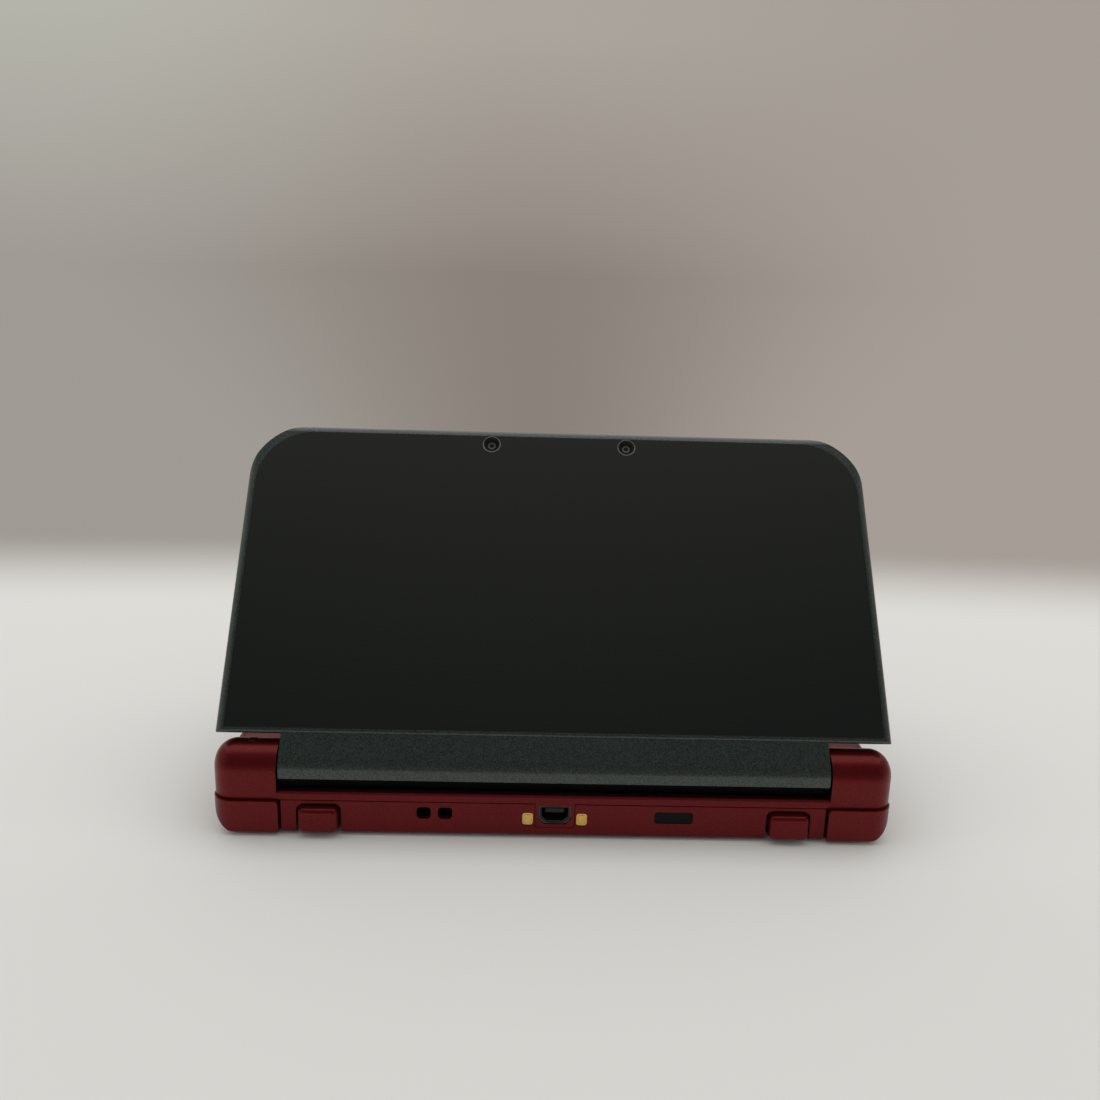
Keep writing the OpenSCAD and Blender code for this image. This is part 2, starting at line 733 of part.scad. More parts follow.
module card_slot() color([0.68, 0.68, 0.70]) difference() {
    half = card_w / 2 + 0.4;
    t = card_cage_t;
    span([card_x - half - t, inner_front, floor_z + 0.05],
        [card_x + half + t, card_back, plate_z]);
    span([card_x - half, front_y, card_z], [card_x + half, front_y + wall + card_l, card_z + card_h]);
}

socket_front = front_y + 2.25;
socket_back = socket_front + 14.5;

// Socket for a memory card, behind the front wall.
module microsd_socket() color([0.72, 0.72, 0.74]) difference() {
    x = power_x - 15;
    span([x - 7, socket_front, plate_z - 1.9], [x + 7, socket_back, plate_z]);
    span([x - 5.8, socket_front - 1, plate_z - 1.4], [x + 5.8, socket_back - 1, plate_z - 0.5]);
}

module charge_port() color([0.55, 0.55, 0.56]) union() {
    difference() {
        along_y(back_y - 9.5, back_y - 0.35) port_outline(0);
        along_y(back_y - 8.8, back_y + 1) offset_port(0.4);
    }
    // Tongue that carries the contacts.
    span([-2.3, back_y - 9, port_z1 - 2.3], [2.3, back_y - 1.6, port_z1 - 1.3]);
}

// The port's outline drawn in by t.
module offset_port(t) {
    x = port_w / 2 - t;
    cut = 1.1;
    polygon([[-x, port_z0 + t + cut], [-x + cut, port_z0 + t], [x - cut, port_z0 + t],
        [x, port_z0 + t + cut], [x, port_z1 - t], [-x, port_z1 - t]]);
}

// Two charging contacts beside the port, out to out_y.
module contact_shapes(gap, out_y) {
    x0 = tab_half + 0.45;
    both_sides() union() {
        along_y(back_y - wall - 1, out_y) round_rect([x0 - gap, 3.4 - gap], [x0 + 2.6 + gap, 6.5 + gap], 0.7);
        span([x0 - 0.3, back_y - wall - 1.5, 2.9], [x0 + 3.1, back_y - wall - gap, 7]);
    }
}

module cradle_contacts() color([0.85, 0.65, 0.25]) contact_shapes(0, back_y - 0.12);

// Infrared window: a face in the wall and a wider foot behind it.
module ir_shape(gap, out_y) {
    along_y(back_y - wall - 0.5, out_y)
        round_rect([ir_x - ir_w / 2 - gap, 4.4 - gap], [ir_x + ir_w / 2 + gap, 7.25 + gap], 0.8);
    span([ir_x - ir_w / 2 - 0.9, back_y - wall - 1.3, 3.6], [ir_x + ir_w / 2 + 0.9, back_y - wall, 7.7]);
}

module ir_window() color([0.06, 0.07, 0.12]) ir_shape(0, back_y - 0.15);

module headphone_jack() color([0.12, 0.12, 0.13]) difference() {
    union() {
        rod_y(front_y + 0.3, front_y + wall, 0, jack_z, jack_r + 1.1);
        rod_y(front_y + 0.3, inner_front + 1, 0, jack_z, jack_r + 0.7);
        span([-3.6, inner_front, floor_z + 0.05], [3.6, front_y + jack_l + 2, plate_z]);
    }
    rod_y(front_y - 1, front_y + 0.3 + jack_l, 0, jack_z, jack_r);
}

// Light pipes: two in the front wall and one in the right knuckle's top.
module light_pipes() color([0.75, 0.8, 0.8]) union() {
    for (x = light_spots()) {
        rod_y(front_y + 0.15, front_y + wall + 2, x, jack_z + 1, 0.55);
        span([x - 0.9, front_y + wall + 0.5, jack_z + 0.4], [x + 0.9, front_y + wall + 2.5, plate_z]);
    }
    status_light(0, hinge_z + barrel_r - 0.15);
}

// Window of the status light in the knuckle, up to z1.
module status_light(gap, z1) {
    x = half_w - 8.7;
    span([x - 0.9 - gap, hinge_y - 1.6 - gap, hinge_z + 3.9 - gap], [x + 0.9 + gap, hinge_y + 0.9 + gap, z1]);
}

// ---------- lower half: deck controls ----------

// Rubber sheet with a dome under each face, start and select button.
module face_button_membrane() color([0.55, 0.56, 0.58]) union() {
    plate([control_x - 11.8, select_pos[1] - 4], [control_x + 11.6, upper_y + 11.5],
        shelf_z, shelf_z + 0.8, 1.5);
    for (i = [0:3])
        translate(face_spot(i)) translate([0, 0, shelf_z]) cylinder(h = 1.2, r1 = face_r, r2 = face_r - 1);
    for (spot = [start_pos, select_pos])
        translate([spot[0], spot[1], shelf_z]) cylinder(h = 1.2, r1 = 2.4, r2 = 1.8);
}

module dpad_membrane() color([0.55, 0.56, 0.58]) difference() {
    union() {
        plate([-control_x - 11.6, dpad_y - 11.6], [-control_x + 11.6, dpad_y + 11.6],
            shelf_z, shelf_z + 0.8, 1.5);
        for (a = [0:90:270])
            translate([-control_x, dpad_y, shelf_z]) rotate([0, 0, a]) translate([7.5, 0, 0])
                cylinder(h = 1.1, r1 = 2.6, r2 = 2);
    }
    translate([-control_x, dpad_y, 0]) cylinder(h = deck_z, r = 3.4);
}

// A push button: cap through the deck, with a flange that keeps it in.
module push_button(r) {
    top = deck_z + button_proud;
    translate([0, 0, button_base]) cylinder(h = top - button_base - 0.5, r = r);
    translate([0, 0, top - 0.5 - eps]) cylinder(h = 0.5 + eps, r1 = r, r2 = r - 0.5);
    translate([0, 0, button_base + 0.6]) cylinder(h = 1.2, r = r + button_flange);
}

module face_button(i) color([0.16, 0.16, 0.17]) translate(face_spot(i)) push_button(face_r);
module start_button() color([0.16, 0.16, 0.17]) translate(start_pos) push_button(small_button_r);
module select_button() color([0.16, 0.16, 0.17]) translate(select_pos) push_button(small_button_r);

module home_button() color([0.16, 0.16, 0.17]) union() {
    translate([0, 0, button_base]) linear_extrude(deck_z + button_proud - 0.4 - button_base) home_outline(0);
    translate([0, 0, button_base + 0.6]) linear_extrude(1.2) home_outline(0.6);
}

// Rubbery pointing nub, fixed, on its own stalk.
module c_stick() color([0.45, 0.45, 0.47]) union() {
    translate([c_stick_pos[0], c_stick_pos[1], shelf_z]) cylinder(h = deck_z - shelf_z, r = 2.3);
    translate([c_stick_pos[0], c_stick_pos[1], deck_z - eps]) cylinder(h = 0.8, r1 = 2.3, r2 = 1.7);
}

dpad_pivot_z = shelf_z + 2;

// Centre piece that the pad rocks on, forward and back.
module dpad_rocker() color([0.3, 0.3, 0.32])
    translate([-control_x, dpad_y, shelf_z + 0.9]) cylinder(h = 1.05, r = 3);

module dpad() color([0.16, 0.16, 0.17]) translate([-control_x, dpad_y, 0]) union() {
    translate([0, 0, dpad_pivot_z + 0.15]) cylinder(h = 0.8, r = 11);
    translate([0, 0, dpad_pivot_z + 0.9]) linear_extrude(deck_z + dpad_proud - dpad_pivot_z - 0.9)
        dpad_outline(0);
}

pad_skirt_r = pad_r + 2 * pad_travel + 0.8;
carriage_z = shelf_z + 1.7;

// Tray with two rails that the carriage slides along.
module circle_pad_base() color([0.4, 0.4, 0.42]) translate([-control_x, upper_y, 0]) union() {
    span([-15.4, -13.6, shelf_z], [15.4, 13.6, shelf_z + 0.6]);
    for (y = [-12.4, 10.4])
        span([-14, y, shelf_z], [14, y + 2, carriage_z - fit_gap]);
}

// Carriage: slides left and right, and its slot guides the stem forward and back.
module circle_pad_carriage() color([0.5, 0.5, 0.52]) translate([-control_x, upper_y, 0]) difference() {
    span([-10.5, -13, carriage_z], [10.5, 13, carriage_z + 0.8]);
    plate([-2.3 - fit_gap, -2.3 - pad_travel - 0.3], [2.3 + fit_gap, 2.3 + pad_travel + 0.3],
        carriage_z - 1, carriage_z + 2, 0.3);
}

module circle_pad() color([0.32, 0.33, 0.35]) translate([-control_x, upper_y, 0]) difference() {
    union() {
        translate([0, 0, carriage_z + 0.15]) span([-2.3, -2.3, -0.6], [2.3, 2.3, 1.6]);
        translate([0, 0, carriage_z + 1.1]) cylinder(h = 0.6, r = pad_skirt_r);
        translate([0, 0, carriage_z + 1.1]) cylinder(h = deck_z - carriage_z, r = 4.2);
        translate([0, 0, deck_z - 0.3]) cylinder(h = 0.5, r1 = pad_r - 0.4, r2 = pad_r);
        translate([0, 0, deck_z + 0.2 - eps]) cylinder(h = 0.6, r1 = pad_r, r2 = pad_r - 0.5);
    }
    // Dished top.
    translate([0, 0, deck_z + 0.8 + 38]) sphere(r = 38.5, $fn = 128);
}

module power_button() color([0.16, 0.16, 0.17]) union() {
    along_y(front_y, front_y + wall + 1.2) power_outline(0);
    along_y(front_y + wall + 0.15, front_y + wall + 1.1)
        round_rect([power_x - 5, jack_z - 2.1], [power_x + 5, jack_z + 2.1], 1);
}

// ---------- lower half: shoulder buttons, triggers and stylus ----------

// Outer skin of one shoulder button: the case's own corner, standing slightly out.
module shoulder(side) {
    mirror([side < 0 ? 1 : 0, 0, 0]) difference() {
        union() {
            intersection() {
                difference() {
                    translate([0, shoulder_proud, 0]) lower_block(0, shoulder_low, shoulder_z1);
                    lower_block(shoulder_t, 0, shoulder_z1 - shoulder_t);
                    // Open below, round the cover's tongue of floor.
                    span([0, front_y, 0], [shoulder_edge, back_y - shoulder_t, seam_z - 3]);
                }
                along_y(back_y - shoulder_d, back_y + 9)
                    round_rect([shoulder_x, shoulder_low], [body_w, shoulder_z1], 0.9);
            }
            // Pivot boss and the inboard wall that carries it.
            translate([shoulder_pin_x, shoulder_pin_y, shoulder_z0])
                cylinder(h = shoulder_z1 - shoulder_z0, r = 1.8);
            span([shoulder_x, shoulder_pin_y - 1.6, shoulder_z0],
                [shoulder_x + shoulder_t, back_y - 0.2, shoulder_z1 - 0.5]);
            // Rib that presses the switch.
            span([switch_x - 0.6, shoulder_pin_y - 0.4, 3], [switch_x + 0.6, back_y - 0.2, shoulder_z1 - 0.5]);
        }
        translate([shoulder_pin_x, shoulder_pin_y, 0]) cylinder(h = seam_z + 1, r = shoulder_pin_r + run_gap);
    }
}

module shoulder_left() color([0.30, 0.09, 0.10]) shoulder(-1);
module shoulder_right() color([0.30, 0.09, 0.10]) shoulder(1);

module shoulder_pins() color([0.7, 0.7, 0.72]) both_sides()
    translate([shoulder_pin_x, shoulder_pin_y, shoulder_z0 - small_gap])
        cylinder(h = seam_z - shoulder_z0 + small_gap, r = shoulder_pin_r);

// One inner trigger, with a flange behind the wall.
module trigger(side) {
    mirror([side < 0 ? 1 : 0, 0, 0]) union() {
        intersection() {
            along_y(back_y - trigger_in, back_y + trigger_proud) trigger_outline(0);
            along_x(trigger_x - trigger_w, trigger_x + trigger_w)
                round_rect([back_y - 20, trigger_z0], [back_y + trigger_proud, trigger_z1], 1);
        }
        span([trigger_x - trigger_w / 2 - 1.5, back_y - wall - 1.2, 3.4],
            [trigger_x + trigger_w / 2 + 1.5, back_y - wall - 0.15, trigger_z1 - 0.1]);
    }
}

module trigger_left() color([0.30, 0.09, 0.10]) trigger(-1);
module trigger_right() color([0.30, 0.09, 0.10]) trigger(1);

// Click switches behind the triggers, the shoulder buttons and the power button.
module control_switches() color([0.8, 0.8, 0.82]) union() {
    both_sides() {
        span([trigger_x - 2, back_y - trigger_in - trigger_travel - 4, floor_z],
            [trigger_x + 2, back_y - trigger_in - trigger_travel - 0.1, 6.6]);
        span([switch_x - 1.3, shoulder_pin_y - 4, floor_z - 0.4], [switch_x + 1.3, shoulder_pin_y - 1.2, 6.2]);
    }
    span([power_x - 2, front_y + wall + 2.2, jack_z - 1],
        [power_x + 2, front_y + wall + 4.4, board_top - board_t]);
}

module stylus() color([0.14, 0.14, 0.15]) union() {
    tip = 5;
    rod_y(front_y, front_y + 3.2, stylus_x, jack_z, stylus_cap_r);
    rod_y(front_y + 3, front_y + stylus_l - tip, stylus_x, jack_z, stylus_r);
    translate([stylus_x, front_y + stylus_l - tip - eps, jack_z]) rotate([-90, 0, 0])
        cylinder(h = tip, r1 = stylus_r, r2 = 0.7);
}

// ---------- hinge hardware, feet and screws ----------

pin_end = knuckle_x + 9;

module hinge_bushing() color([0.72, 0.70, 0.62]) difference() {
    rod_x(-knuckle_x - 8, -knuckle_x - 0.2, hinge_y, hinge_z, bush_r());
    rod_x(-knuckle_x - 9, -knuckle_x + 1, hinge_y, hinge_z, pin_r + run_gap);
}

module hinge_clutch() color([0.6, 0.6, 0.62]) difference() {
    union() {
        rod_x(knuckle_x + 0.2, knuckle_x + 9.5, hinge_y, hinge_z, bush_r());
        rod_x(knuckle_x + 1.5, knuckle_x + 2.5, hinge_y, hinge_z, bush_r() + fit_gap / 2);
    }
    rod_x(knuckle_x - 1, knuckle_x + 11, hinge_y, hinge_z, pin_r + run_gap);
}

module hinge_pins() color([0.75, 0.75, 0.77]) both_sides() {
    rod_x(barrel_half - barrel_disc_t - 1.5, pin_end, hinge_y, hinge_z, pin_r);
    rod_x(barrel_half - barrel_disc_t - 1.5, barrel_half - barrel_disc_t, hinge_y, hinge_z, pin_r + 1.7);
}

module rubber_feet() color([0.08, 0.08, 0.08])
    for (spot = foot_spots())
        translate([spot[0], spot[1], 0]) cylinder(h = foot_h + foot_sink, r = foot_r);

screw_head_t = 0.65;
screw_head_r = 2;
cross_l = 2.2;
cross_w = 0.5;

// Screws from below into the housing's bosses.
module cover_screws() color([0.6, 0.6, 0.62])
    for (spot = bolt_spots)
        translate([spot[0], spot[1], 0]) difference() {
            union() {
                translate([0, 0, foot_h + fit_gap]) cylinder(h = screw_head_t, r = screw_head_r);
                translate([0, 0, foot_h + 0.6]) cylinder(h = plate_z - 1.8 - foot_h, r = 0.8);
            }
            // Cross recess.
            translate([-cross_l / 2, -cross_w / 2, 0]) cube([cross_l, cross_w, foot_h + 0.35]);
            translate([-cross_w / 2, -cross_l / 2, 0]) cube([cross_w, cross_l, foot_h + 0.35]);
        }

// ---------- lid ----------

module camera_holes(z0, z1, r) {
    for (side = [-1, 1])
        translate([side * camera_pitch / 2, front_y + camera_in, z0]) cylinder(h = z1 - z0, r = r);
}

// Outline of the glossy plate, drawn in by gap.
module plate_outline(gap) {
    x = half_w - rim_w - gap;
    two_radius_rect([-x, front_y + rim_w + gap], [x, lid_y - 1.5 - gap],
        front_corner_r - rim_w - gap, 0.6);
}

// Metallic outer shell: rim, skin under the plate, neck and the outside of the barrel.
module lid_shell() color([0.20, 0.24, 0.24]) at_rest() difference() {
    neck_z = lid_in_z + barrel_wall + small_gap;
    split_y = lid_y - end_back(lid_split);
    union() {
        difference() {
            lid_block(0, lid_split, lid_out_z);
            lid_block(lid_wall, lid_split - 1, lid_top_in);
        }
        // Neck and barrel skin.
        hinge_arc(barrel_r - barrel_wall, barrel_r, cover_to + 0.8, 91, barrel_half);
        span([-barrel_half, lid_y - 1, hinge_z + barrel_r - barrel_wall],
            [barrel_half, hinge_y + eps, hinge_z + barrel_r]);
        // End discs that hold the pins.
        both_sides() union() {
            rod_x(barrel_half - barrel_disc_t, barrel_half, hinge_y, hinge_z,
                barrel_r - barrel_wall - small_gap);
            along_x(barrel_half - barrel_disc_t, barrel_half) polygon([
                [hinge_y, neck_z], [hinge_y, hinge_z + barrel_r - eps], [lid_y - 0.8, hinge_z + barrel_r - eps],
                [split_y - 0.6, lid_split], [split_y + small_gap, lid_split],
                [lid_y - end_back(neck_z) + small_gap, neck_z]]);
        }
    }
    translate([0, 0, lid_out_z - plate_t]) linear_extrude(plate_t + 1) plate_outline(0);
    camera_holes(lid_top_in - 1, lid_out_z + 1, camera_r);
    both_sides() rod_x(barrel_half - barrel_disc_t - 1, barrel_half + 1, hinge_y, hinge_z, pin_r + 0.02);
    // Cable slot into the neck.
    span([-20, split_y - lid_wall - 0.5, lid_split + 0.8], [20, lid_y + 0.5, lid_split + 3]);
    both_sides() slider_slot();
}

// Opening for a side slider, with room for the slide's travel.
module slider_slot() {
    span([half_w - lid_wall - 1, slider_y - 4 - slider_travel, lid_split + 1.1],
        [half_w + 1, slider_y + 4, lid_split + 2.9]);
}

module slider(side) {
    mirror([side < 0 ? 1 : 0, 0, 0]) union() {
        span([half_w - lid_wall - 0.6, slider_y - 3.8, lid_split + 1.2],
            [half_w + 0.6, slider_y + 3.8, lid_split + 2.8]);
        span([half_w - lid_wall - 1.6, slider_y - 5, lid_split + 0.6],
            [half_w - lid_wall - 0.1, slider_y + 5, lid_split + 3.4]);
    }
}

module volume_slider() color([0.16, 0.16, 0.17]) at_rest() slider(-1);
module depth_slider() color([0.16, 0.16, 0.17]) at_rest() slider(1);

module lid_plate() color([0.08, 0.09, 0.09]) at_rest() difference() {
    translate([0, 0, lid_out_z - plate_t]) linear_extrude(plate_t) plate_outline(fit_gap);
    camera_holes(lid_out_z - plate_t - 1, lid_out_z + 1, camera_r);
}

// Black inner half of the barrel and the underside of the neck.
module barrel_cover() color([0.05, 0.05, 0.06]) at_rest() along_x(-barrel_half, barrel_half)
    translate([hinge_y, hinge_z]) difference() {
        union() {
            intersection() {
                circle(barrel_r, $fn = 96);
                wedge(cover_from, cover_to);
            }
            neck_cover();
        }
        circle(barrel_r - barrel_wall, $fn = 96);
    }

// Side view of the strip between the barrel and the slab, from the hinge axis.
module neck_cover() {
    z0 = lid_in_z;
    z1 = lid_in_z + barrel_wall;
    polygon([[fit_gap - lid_start - end_back(z0), z0 - hinge_z], [-4, z0 - hinge_z], [-4, z1 - hinge_z],
        [fit_gap - lid_start - end_back(z1), z1 - hinge_z]]);
}

// Slice of a wide disc between two angles.
module wedge(a0, a1) {
    polygon([[0, 0], for (i = [0:8]) 20 * [cos(a0 + (a1 - a0) * i / 8), sin(a0 + (a1 - a0) * i / 8)]]);
}

// Inner face of the lid, with a raised rim, the lens seat and the speaker holes.
module lid_bezel() color([0.07, 0.07, 0.08]) at_rest() difference() {
    union() {
        difference() {
            lid_block(0, lid_in_z, lid_split);
            lid_block(1.8, lid_in_z - 1, lid_face);
        }
        // Lip inside the shell.
        difference() {
            lid_block(lid_wall + small_gap, lid_split - eps, lid_split + 0.5);
            lid_block(lid_wall + small_gap + 0.8, lid_split - 1, lid_split + 2);
        }
    }
    lens_plate(fit_gap, lid_face - 1, lid_face + lens_t);
    plate([-screen_w / 2 - 1, lens_y - screen_h / 2 - 1], [screen_w / 2 + 1, lens_y + screen_h / 2 + 1],
        lid_in_z - 1, lid_split + 1, 0.6);
    translate([0, inner_camera_y, lid_in_z - 1]) cylinder(h = 4, r = 1.3 + fit_gap);
    both_sides() for (i = [0:2], j = [-2:2])
        translate([half_w - 15 + speaker_pitch * i, lens_y + 4 + speaker_pitch * j, lid_in_z - 1])
            cylinder(h = 5, r = 0.6);
    for (spot = cap_spots())
        translate([spot[0], spot[1], lid_face - 1]) cylinder(h = 1 + cap_t, r = 2.05 + fit_gap);
    for (spot = bumper_spots())
        translate([spot[0], spot[1], lid_in_z - 1]) cylinder(h = 1 + 0.5, r = 1.3);
}

function cap_spots() = [for (side = [-1, 1]) [side * (half_w - 9), lid_y - 7]];
function bumper_spots() = [for (side = [-1, 1]) [side * (half_w - 10), front_y + 9]];

module lens_plate(gap, z0, z1) {
    x = screen_w / 2 + lens_border + gap;
    y = screen_h / 2 + lens_border - 0.6 + gap;
    plate([-x, lens_y - y], [x, lens_y + y], z0, z1, 2 + gap);
}

module screen_lens() color([0.04, 0.04, 0.05]) at_rest() lens_plate(0, lid_face, lid_face + lens_t);

module upper_lcd() color([0.6, 0.62, 0.64]) at_rest()
    span([-screen_w / 2 - 3, lens_y - screen_h / 2 - 2.5, lid_split],
        [screen_w / 2 + 3, lens_y + screen_h / 2 + 2.5, lid_split + 2.4]);

module lid_board() color([0.08, 0.25, 0.14]) at_rest()
    span([3 - screen_w / 2, lens_y - screen_h / 3, lid_split + 2.4],
        [screen_w / 2 - 3, lens_y + screen_h / 3, lid_split + 3]);

module speakers() color([0.3, 0.3, 0.31]) at_rest() both_sides()
    plate([half_w - 19, lens_y - 7], [half_w - 5, lens_y + 15], lid_split, lid_split + 3, 2);

// Camera barrels behind the plate: a thin ring, then a well with the window at its foot.
module outer_cameras() color([0.06, 0.06, 0.07]) at_rest() difference() {
    camera_holes(lid_top_in - 1.6, lid_out_z - 0.1, camera_r - fit_gap);
    camera_holes(camera_floor, lid_out_z, camera_r - 0.3);
    camera_holes(camera_floor - 0.6, lid_out_z, camera_window_r);
}

module camera_windows() color([0.05, 0.06, 0.10]) at_rest()
    camera_holes(camera_floor - 0.6, camera_floor, camera_window_r);

module inner_camera() color([0.06, 0.06, 0.07]) at_rest()
    translate([0, inner_camera_y, lid_face + 0.1]) cylinder(h = lid_split + 1.6 - lid_face, r = 1.3);

module bumper_pads() color([0.12, 0.12, 0.12]) at_rest()
    for (spot = bumper_spots())
        translate([spot[0], spot[1], lid_in_z - 0.3]) cylinder(h = 0.8, r = 1.25);

module screw_caps() color([0.07, 0.07, 0.08]) at_rest()
    for (spot = cap_spots())
        translate([spot[0], spot[1], lid_face]) cylinder(h = cap_t, r = 2.05);

// ---------- nodes ----------

bottom_cover();
lower_housing();
deck_panel();
touch_bezel();
touch_panel();
lower_lcd();
main_board();
pad_board();
battery();
card_slot();
microsd_socket();
charge_port();
cradle_contacts();
ir_window();
headphone_jack();
light_pipes();
face_button_membrane();
dpad_membrane();
circle_pad_base();
c_stick();
control_switches();
hinge_bushing();
hinge_clutch();
shoulder_pins();
rubber_feet();
cover_screws();
power_button();
home_button();
start_button();
select_button();
face_button(0);  // face_button_top
face_button(1);  // face_button_right
face_button(2);  // face_button_bottom
face_button(3);  // face_button_left
dpad_rocker();
dpad();
circle_pad_carriage();
circle_pad();
shoulder_left();
shoulder_right();
trigger_left();
trigger_right();
stylus();
lid_shell();
lid_plate();
barrel_cover();
lid_bezel();
screen_lens();
upper_lcd();
lid_board();
speakers();
outer_cameras();
camera_windows();
inner_camera();
bumper_pads();
screw_caps();
hinge_pins();
volume_slider();
depth_slider();
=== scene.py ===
"""Clamshell handheld game console: the looks of every piece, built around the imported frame."""
import json
import math

import bmesh
import bpy
import numpy as np
from mathutils import Matrix, Vector


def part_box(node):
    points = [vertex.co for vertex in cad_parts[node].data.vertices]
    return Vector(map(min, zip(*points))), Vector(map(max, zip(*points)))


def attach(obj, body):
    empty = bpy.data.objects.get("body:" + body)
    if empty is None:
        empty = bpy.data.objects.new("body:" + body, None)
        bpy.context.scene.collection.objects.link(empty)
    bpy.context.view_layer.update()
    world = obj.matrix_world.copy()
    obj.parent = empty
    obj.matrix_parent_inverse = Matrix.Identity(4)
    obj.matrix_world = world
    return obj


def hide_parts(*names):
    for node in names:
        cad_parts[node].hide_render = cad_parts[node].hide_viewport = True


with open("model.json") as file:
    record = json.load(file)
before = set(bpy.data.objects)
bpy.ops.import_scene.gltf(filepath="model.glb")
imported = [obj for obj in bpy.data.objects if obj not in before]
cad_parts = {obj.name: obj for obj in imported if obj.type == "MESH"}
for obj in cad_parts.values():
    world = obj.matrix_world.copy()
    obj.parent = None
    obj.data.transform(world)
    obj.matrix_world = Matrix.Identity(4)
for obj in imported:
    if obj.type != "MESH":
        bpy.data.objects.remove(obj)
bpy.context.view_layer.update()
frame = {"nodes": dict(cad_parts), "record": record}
nodes = frame["nodes"]

# ---------------------------------------------------------------- camera, table and lamps
# The console stands with its back wall towards the camera, which looks down on it a little.
# The table is a pale sheet that runs out into the backdrop, under one wide soft box and an even fill.

MM = 0.001
EYE = np.array([9.0, 268.3, 128.3]) * MM
YAW, PITCH, ROLL = np.radians([1.55, 14.59, 1.71])
SENSOR_WIDTH = 36.0
FOCAL_TO_WIDTH = 1050 / 1100

ahead = -np.array([math.sin(YAW) * math.cos(PITCH), math.cos(YAW) * math.cos(PITCH), math.sin(PITCH)])
level = np.array([-math.cos(YAW), math.sin(YAW), 0.0])
upright = np.cross(level, ahead)
stance = np.eye(4)
stance[:3, 0] = math.cos(ROLL) * level + math.sin(ROLL) * upright
stance[:3, 1] = math.cos(ROLL) * upright - math.sin(ROLL) * level
stance[:3, 2] = -ahead
stance[:3, 3] = EYE
camera_data = bpy.data.cameras.new("camera")
camera_data.sensor_width = SENSOR_WIDTH
camera_data.lens = SENSOR_WIDTH * FOCAL_TO_WIDTH
camera_data.clip_start, camera_data.clip_end = 0.01, 20.0
camera = bpy.data.objects.new("camera", camera_data)
bpy.context.scene.collection.objects.link(camera)
camera.matrix_world = Matrix(stance.tolist())
bpy.context.scene.camera = camera
bpy.context.scene.view_settings.view_transform = "Standard"


def soft_box(name, place, aim, size, watts):
    """Rectangular lamp of size (across, up) at place, facing aim."""
    data = bpy.data.lights.new(name, "AREA")
    data.shape = "RECTANGLE"
    data.size, data.size_y = size
    data.energy = watts
    lamp = bpy.data.objects.new(name, data)
    bpy.context.scene.collection.objects.link(lamp)
    lamp.location = place
    lamp.rotation_euler = (Vector(aim) - Vector(place)).to_track_quat("-Z", "Y").to_euler()


soft_box("overhead", (0.0, -0.25, 0.72), (0.0, 0.0, 0.02), (1.90, 1.10), 5.6)

FILL_COLOUR, FILL_STRENGTH = (0.60, 0.60, 0.59), 0.85
# Low in the middle of the backdrop: a painted shadow of the console.
MIDDLE_SHADOW_LOW = (0.254, 0.220, 0.195)
LEFT_LOW, LEFT_HIGH = (0.350, 0.326, 0.298), (0.480, 0.478, 0.424)
RIGHT = (0.376, 0.337, 0.305)
CEILING = [(0.74, (0.055, 0.075, 0.062)), (0.93, (0.22, 0.22, 0.20))]
SIDE_FADE = 0.42                            # how far out the backdrop's side colours are full
PAPER_PALE = (0.790, 0.775, 0.745)
PAPER_START, PAPER_END = 0.130, 0.245       # where the paper starts and ends to fade into the backdrop
PAPER_SQUASH = 0.25                         # along X, so that the fade is an oval


def ramp(tree, value, stops):
    """Colour that runs through stops, each (position, colour), as value goes from 0 to 1."""
    band = tree.nodes.new("ShaderNodeValToRGB")
    while len(band.color_ramp.elements) < len(stops):
        band.color_ramp.elements.new(0.5)
    for element, (position, colour) in zip(band.color_ramp.elements, stops):
        element.position = position
        element.color = (*colour, 1)
    tree.links.new(value, band.inputs[0])
    return band.outputs[0]


def maths(tree, operation, *values):
    """What one Math node makes of values, each a number or another node's output."""
    step = tree.nodes.new("ShaderNodeMath")
    step.operation = operation
    for socket, value in zip(step.inputs, values):
        if isinstance(value, (int, float)):
            socket.default_value = value
        else:
            tree.links.new(value, socket)
    return step.outputs[0]


def shown_directly(tree):
    """1 for rays from the camera, from gloss and through glass; 0 for the rays that light the console."""
    rays = tree.nodes.new("ShaderNodeLightPath").outputs
    seen = maths(tree, "MAXIMUM", rays["Is Camera Ray"], rays["Is Glossy Ray"])
    return maths(tree, "MAXIMUM", seen, rays["Is Transmission Ray"])


def fixed(node, **values):
    """Sets a node's own sockets; a name's underscores stand for spaces."""
    for name, value in values.items():
        node.inputs[name.replace("_", " ")].default_value = value


def axes(tree, place):
    """The three coordinates of place, each as an output."""
    split = tree.nodes.new("ShaderNodeSeparateXYZ")
    tree.links.new(place, split.inputs[0])
    return split.outputs


def mapped(tree, place, **moves):
    """place after a Mapping node with these sockets, such as Scale or Rotation."""
    mapping = tree.nodes.new("ShaderNodeMapping")
    fixed(mapping, **moves)
    tree.links.new(place, mapping.inputs["Vector"])
    return mapping.outputs[0]


def measured(tree, vector, operation, output):
    """What one Vector Math node makes of a vector; output is Vector or Value."""
    step = tree.nodes.new("ShaderNodeVectorMath")
    step.operation = operation
    tree.links.new(vector, step.inputs[0])
    return step.outputs[output]


def spread(tree, value, low, high, start=0.3, end=0.7, smooth=False):
    """Carries value from start..end over to low..high, in a straight line or along a smooth S."""
    carry = tree.nodes.new("ShaderNodeMapRange")
    if smooth:
        carry.interpolation_type = "SMOOTHSTEP"
    for socket, number in zip(carry.inputs[1:5], (start, end, low, high)):
        socket.default_value = number
    tree.links.new(value, carry.inputs["Value"])
    return carry.outputs[0]


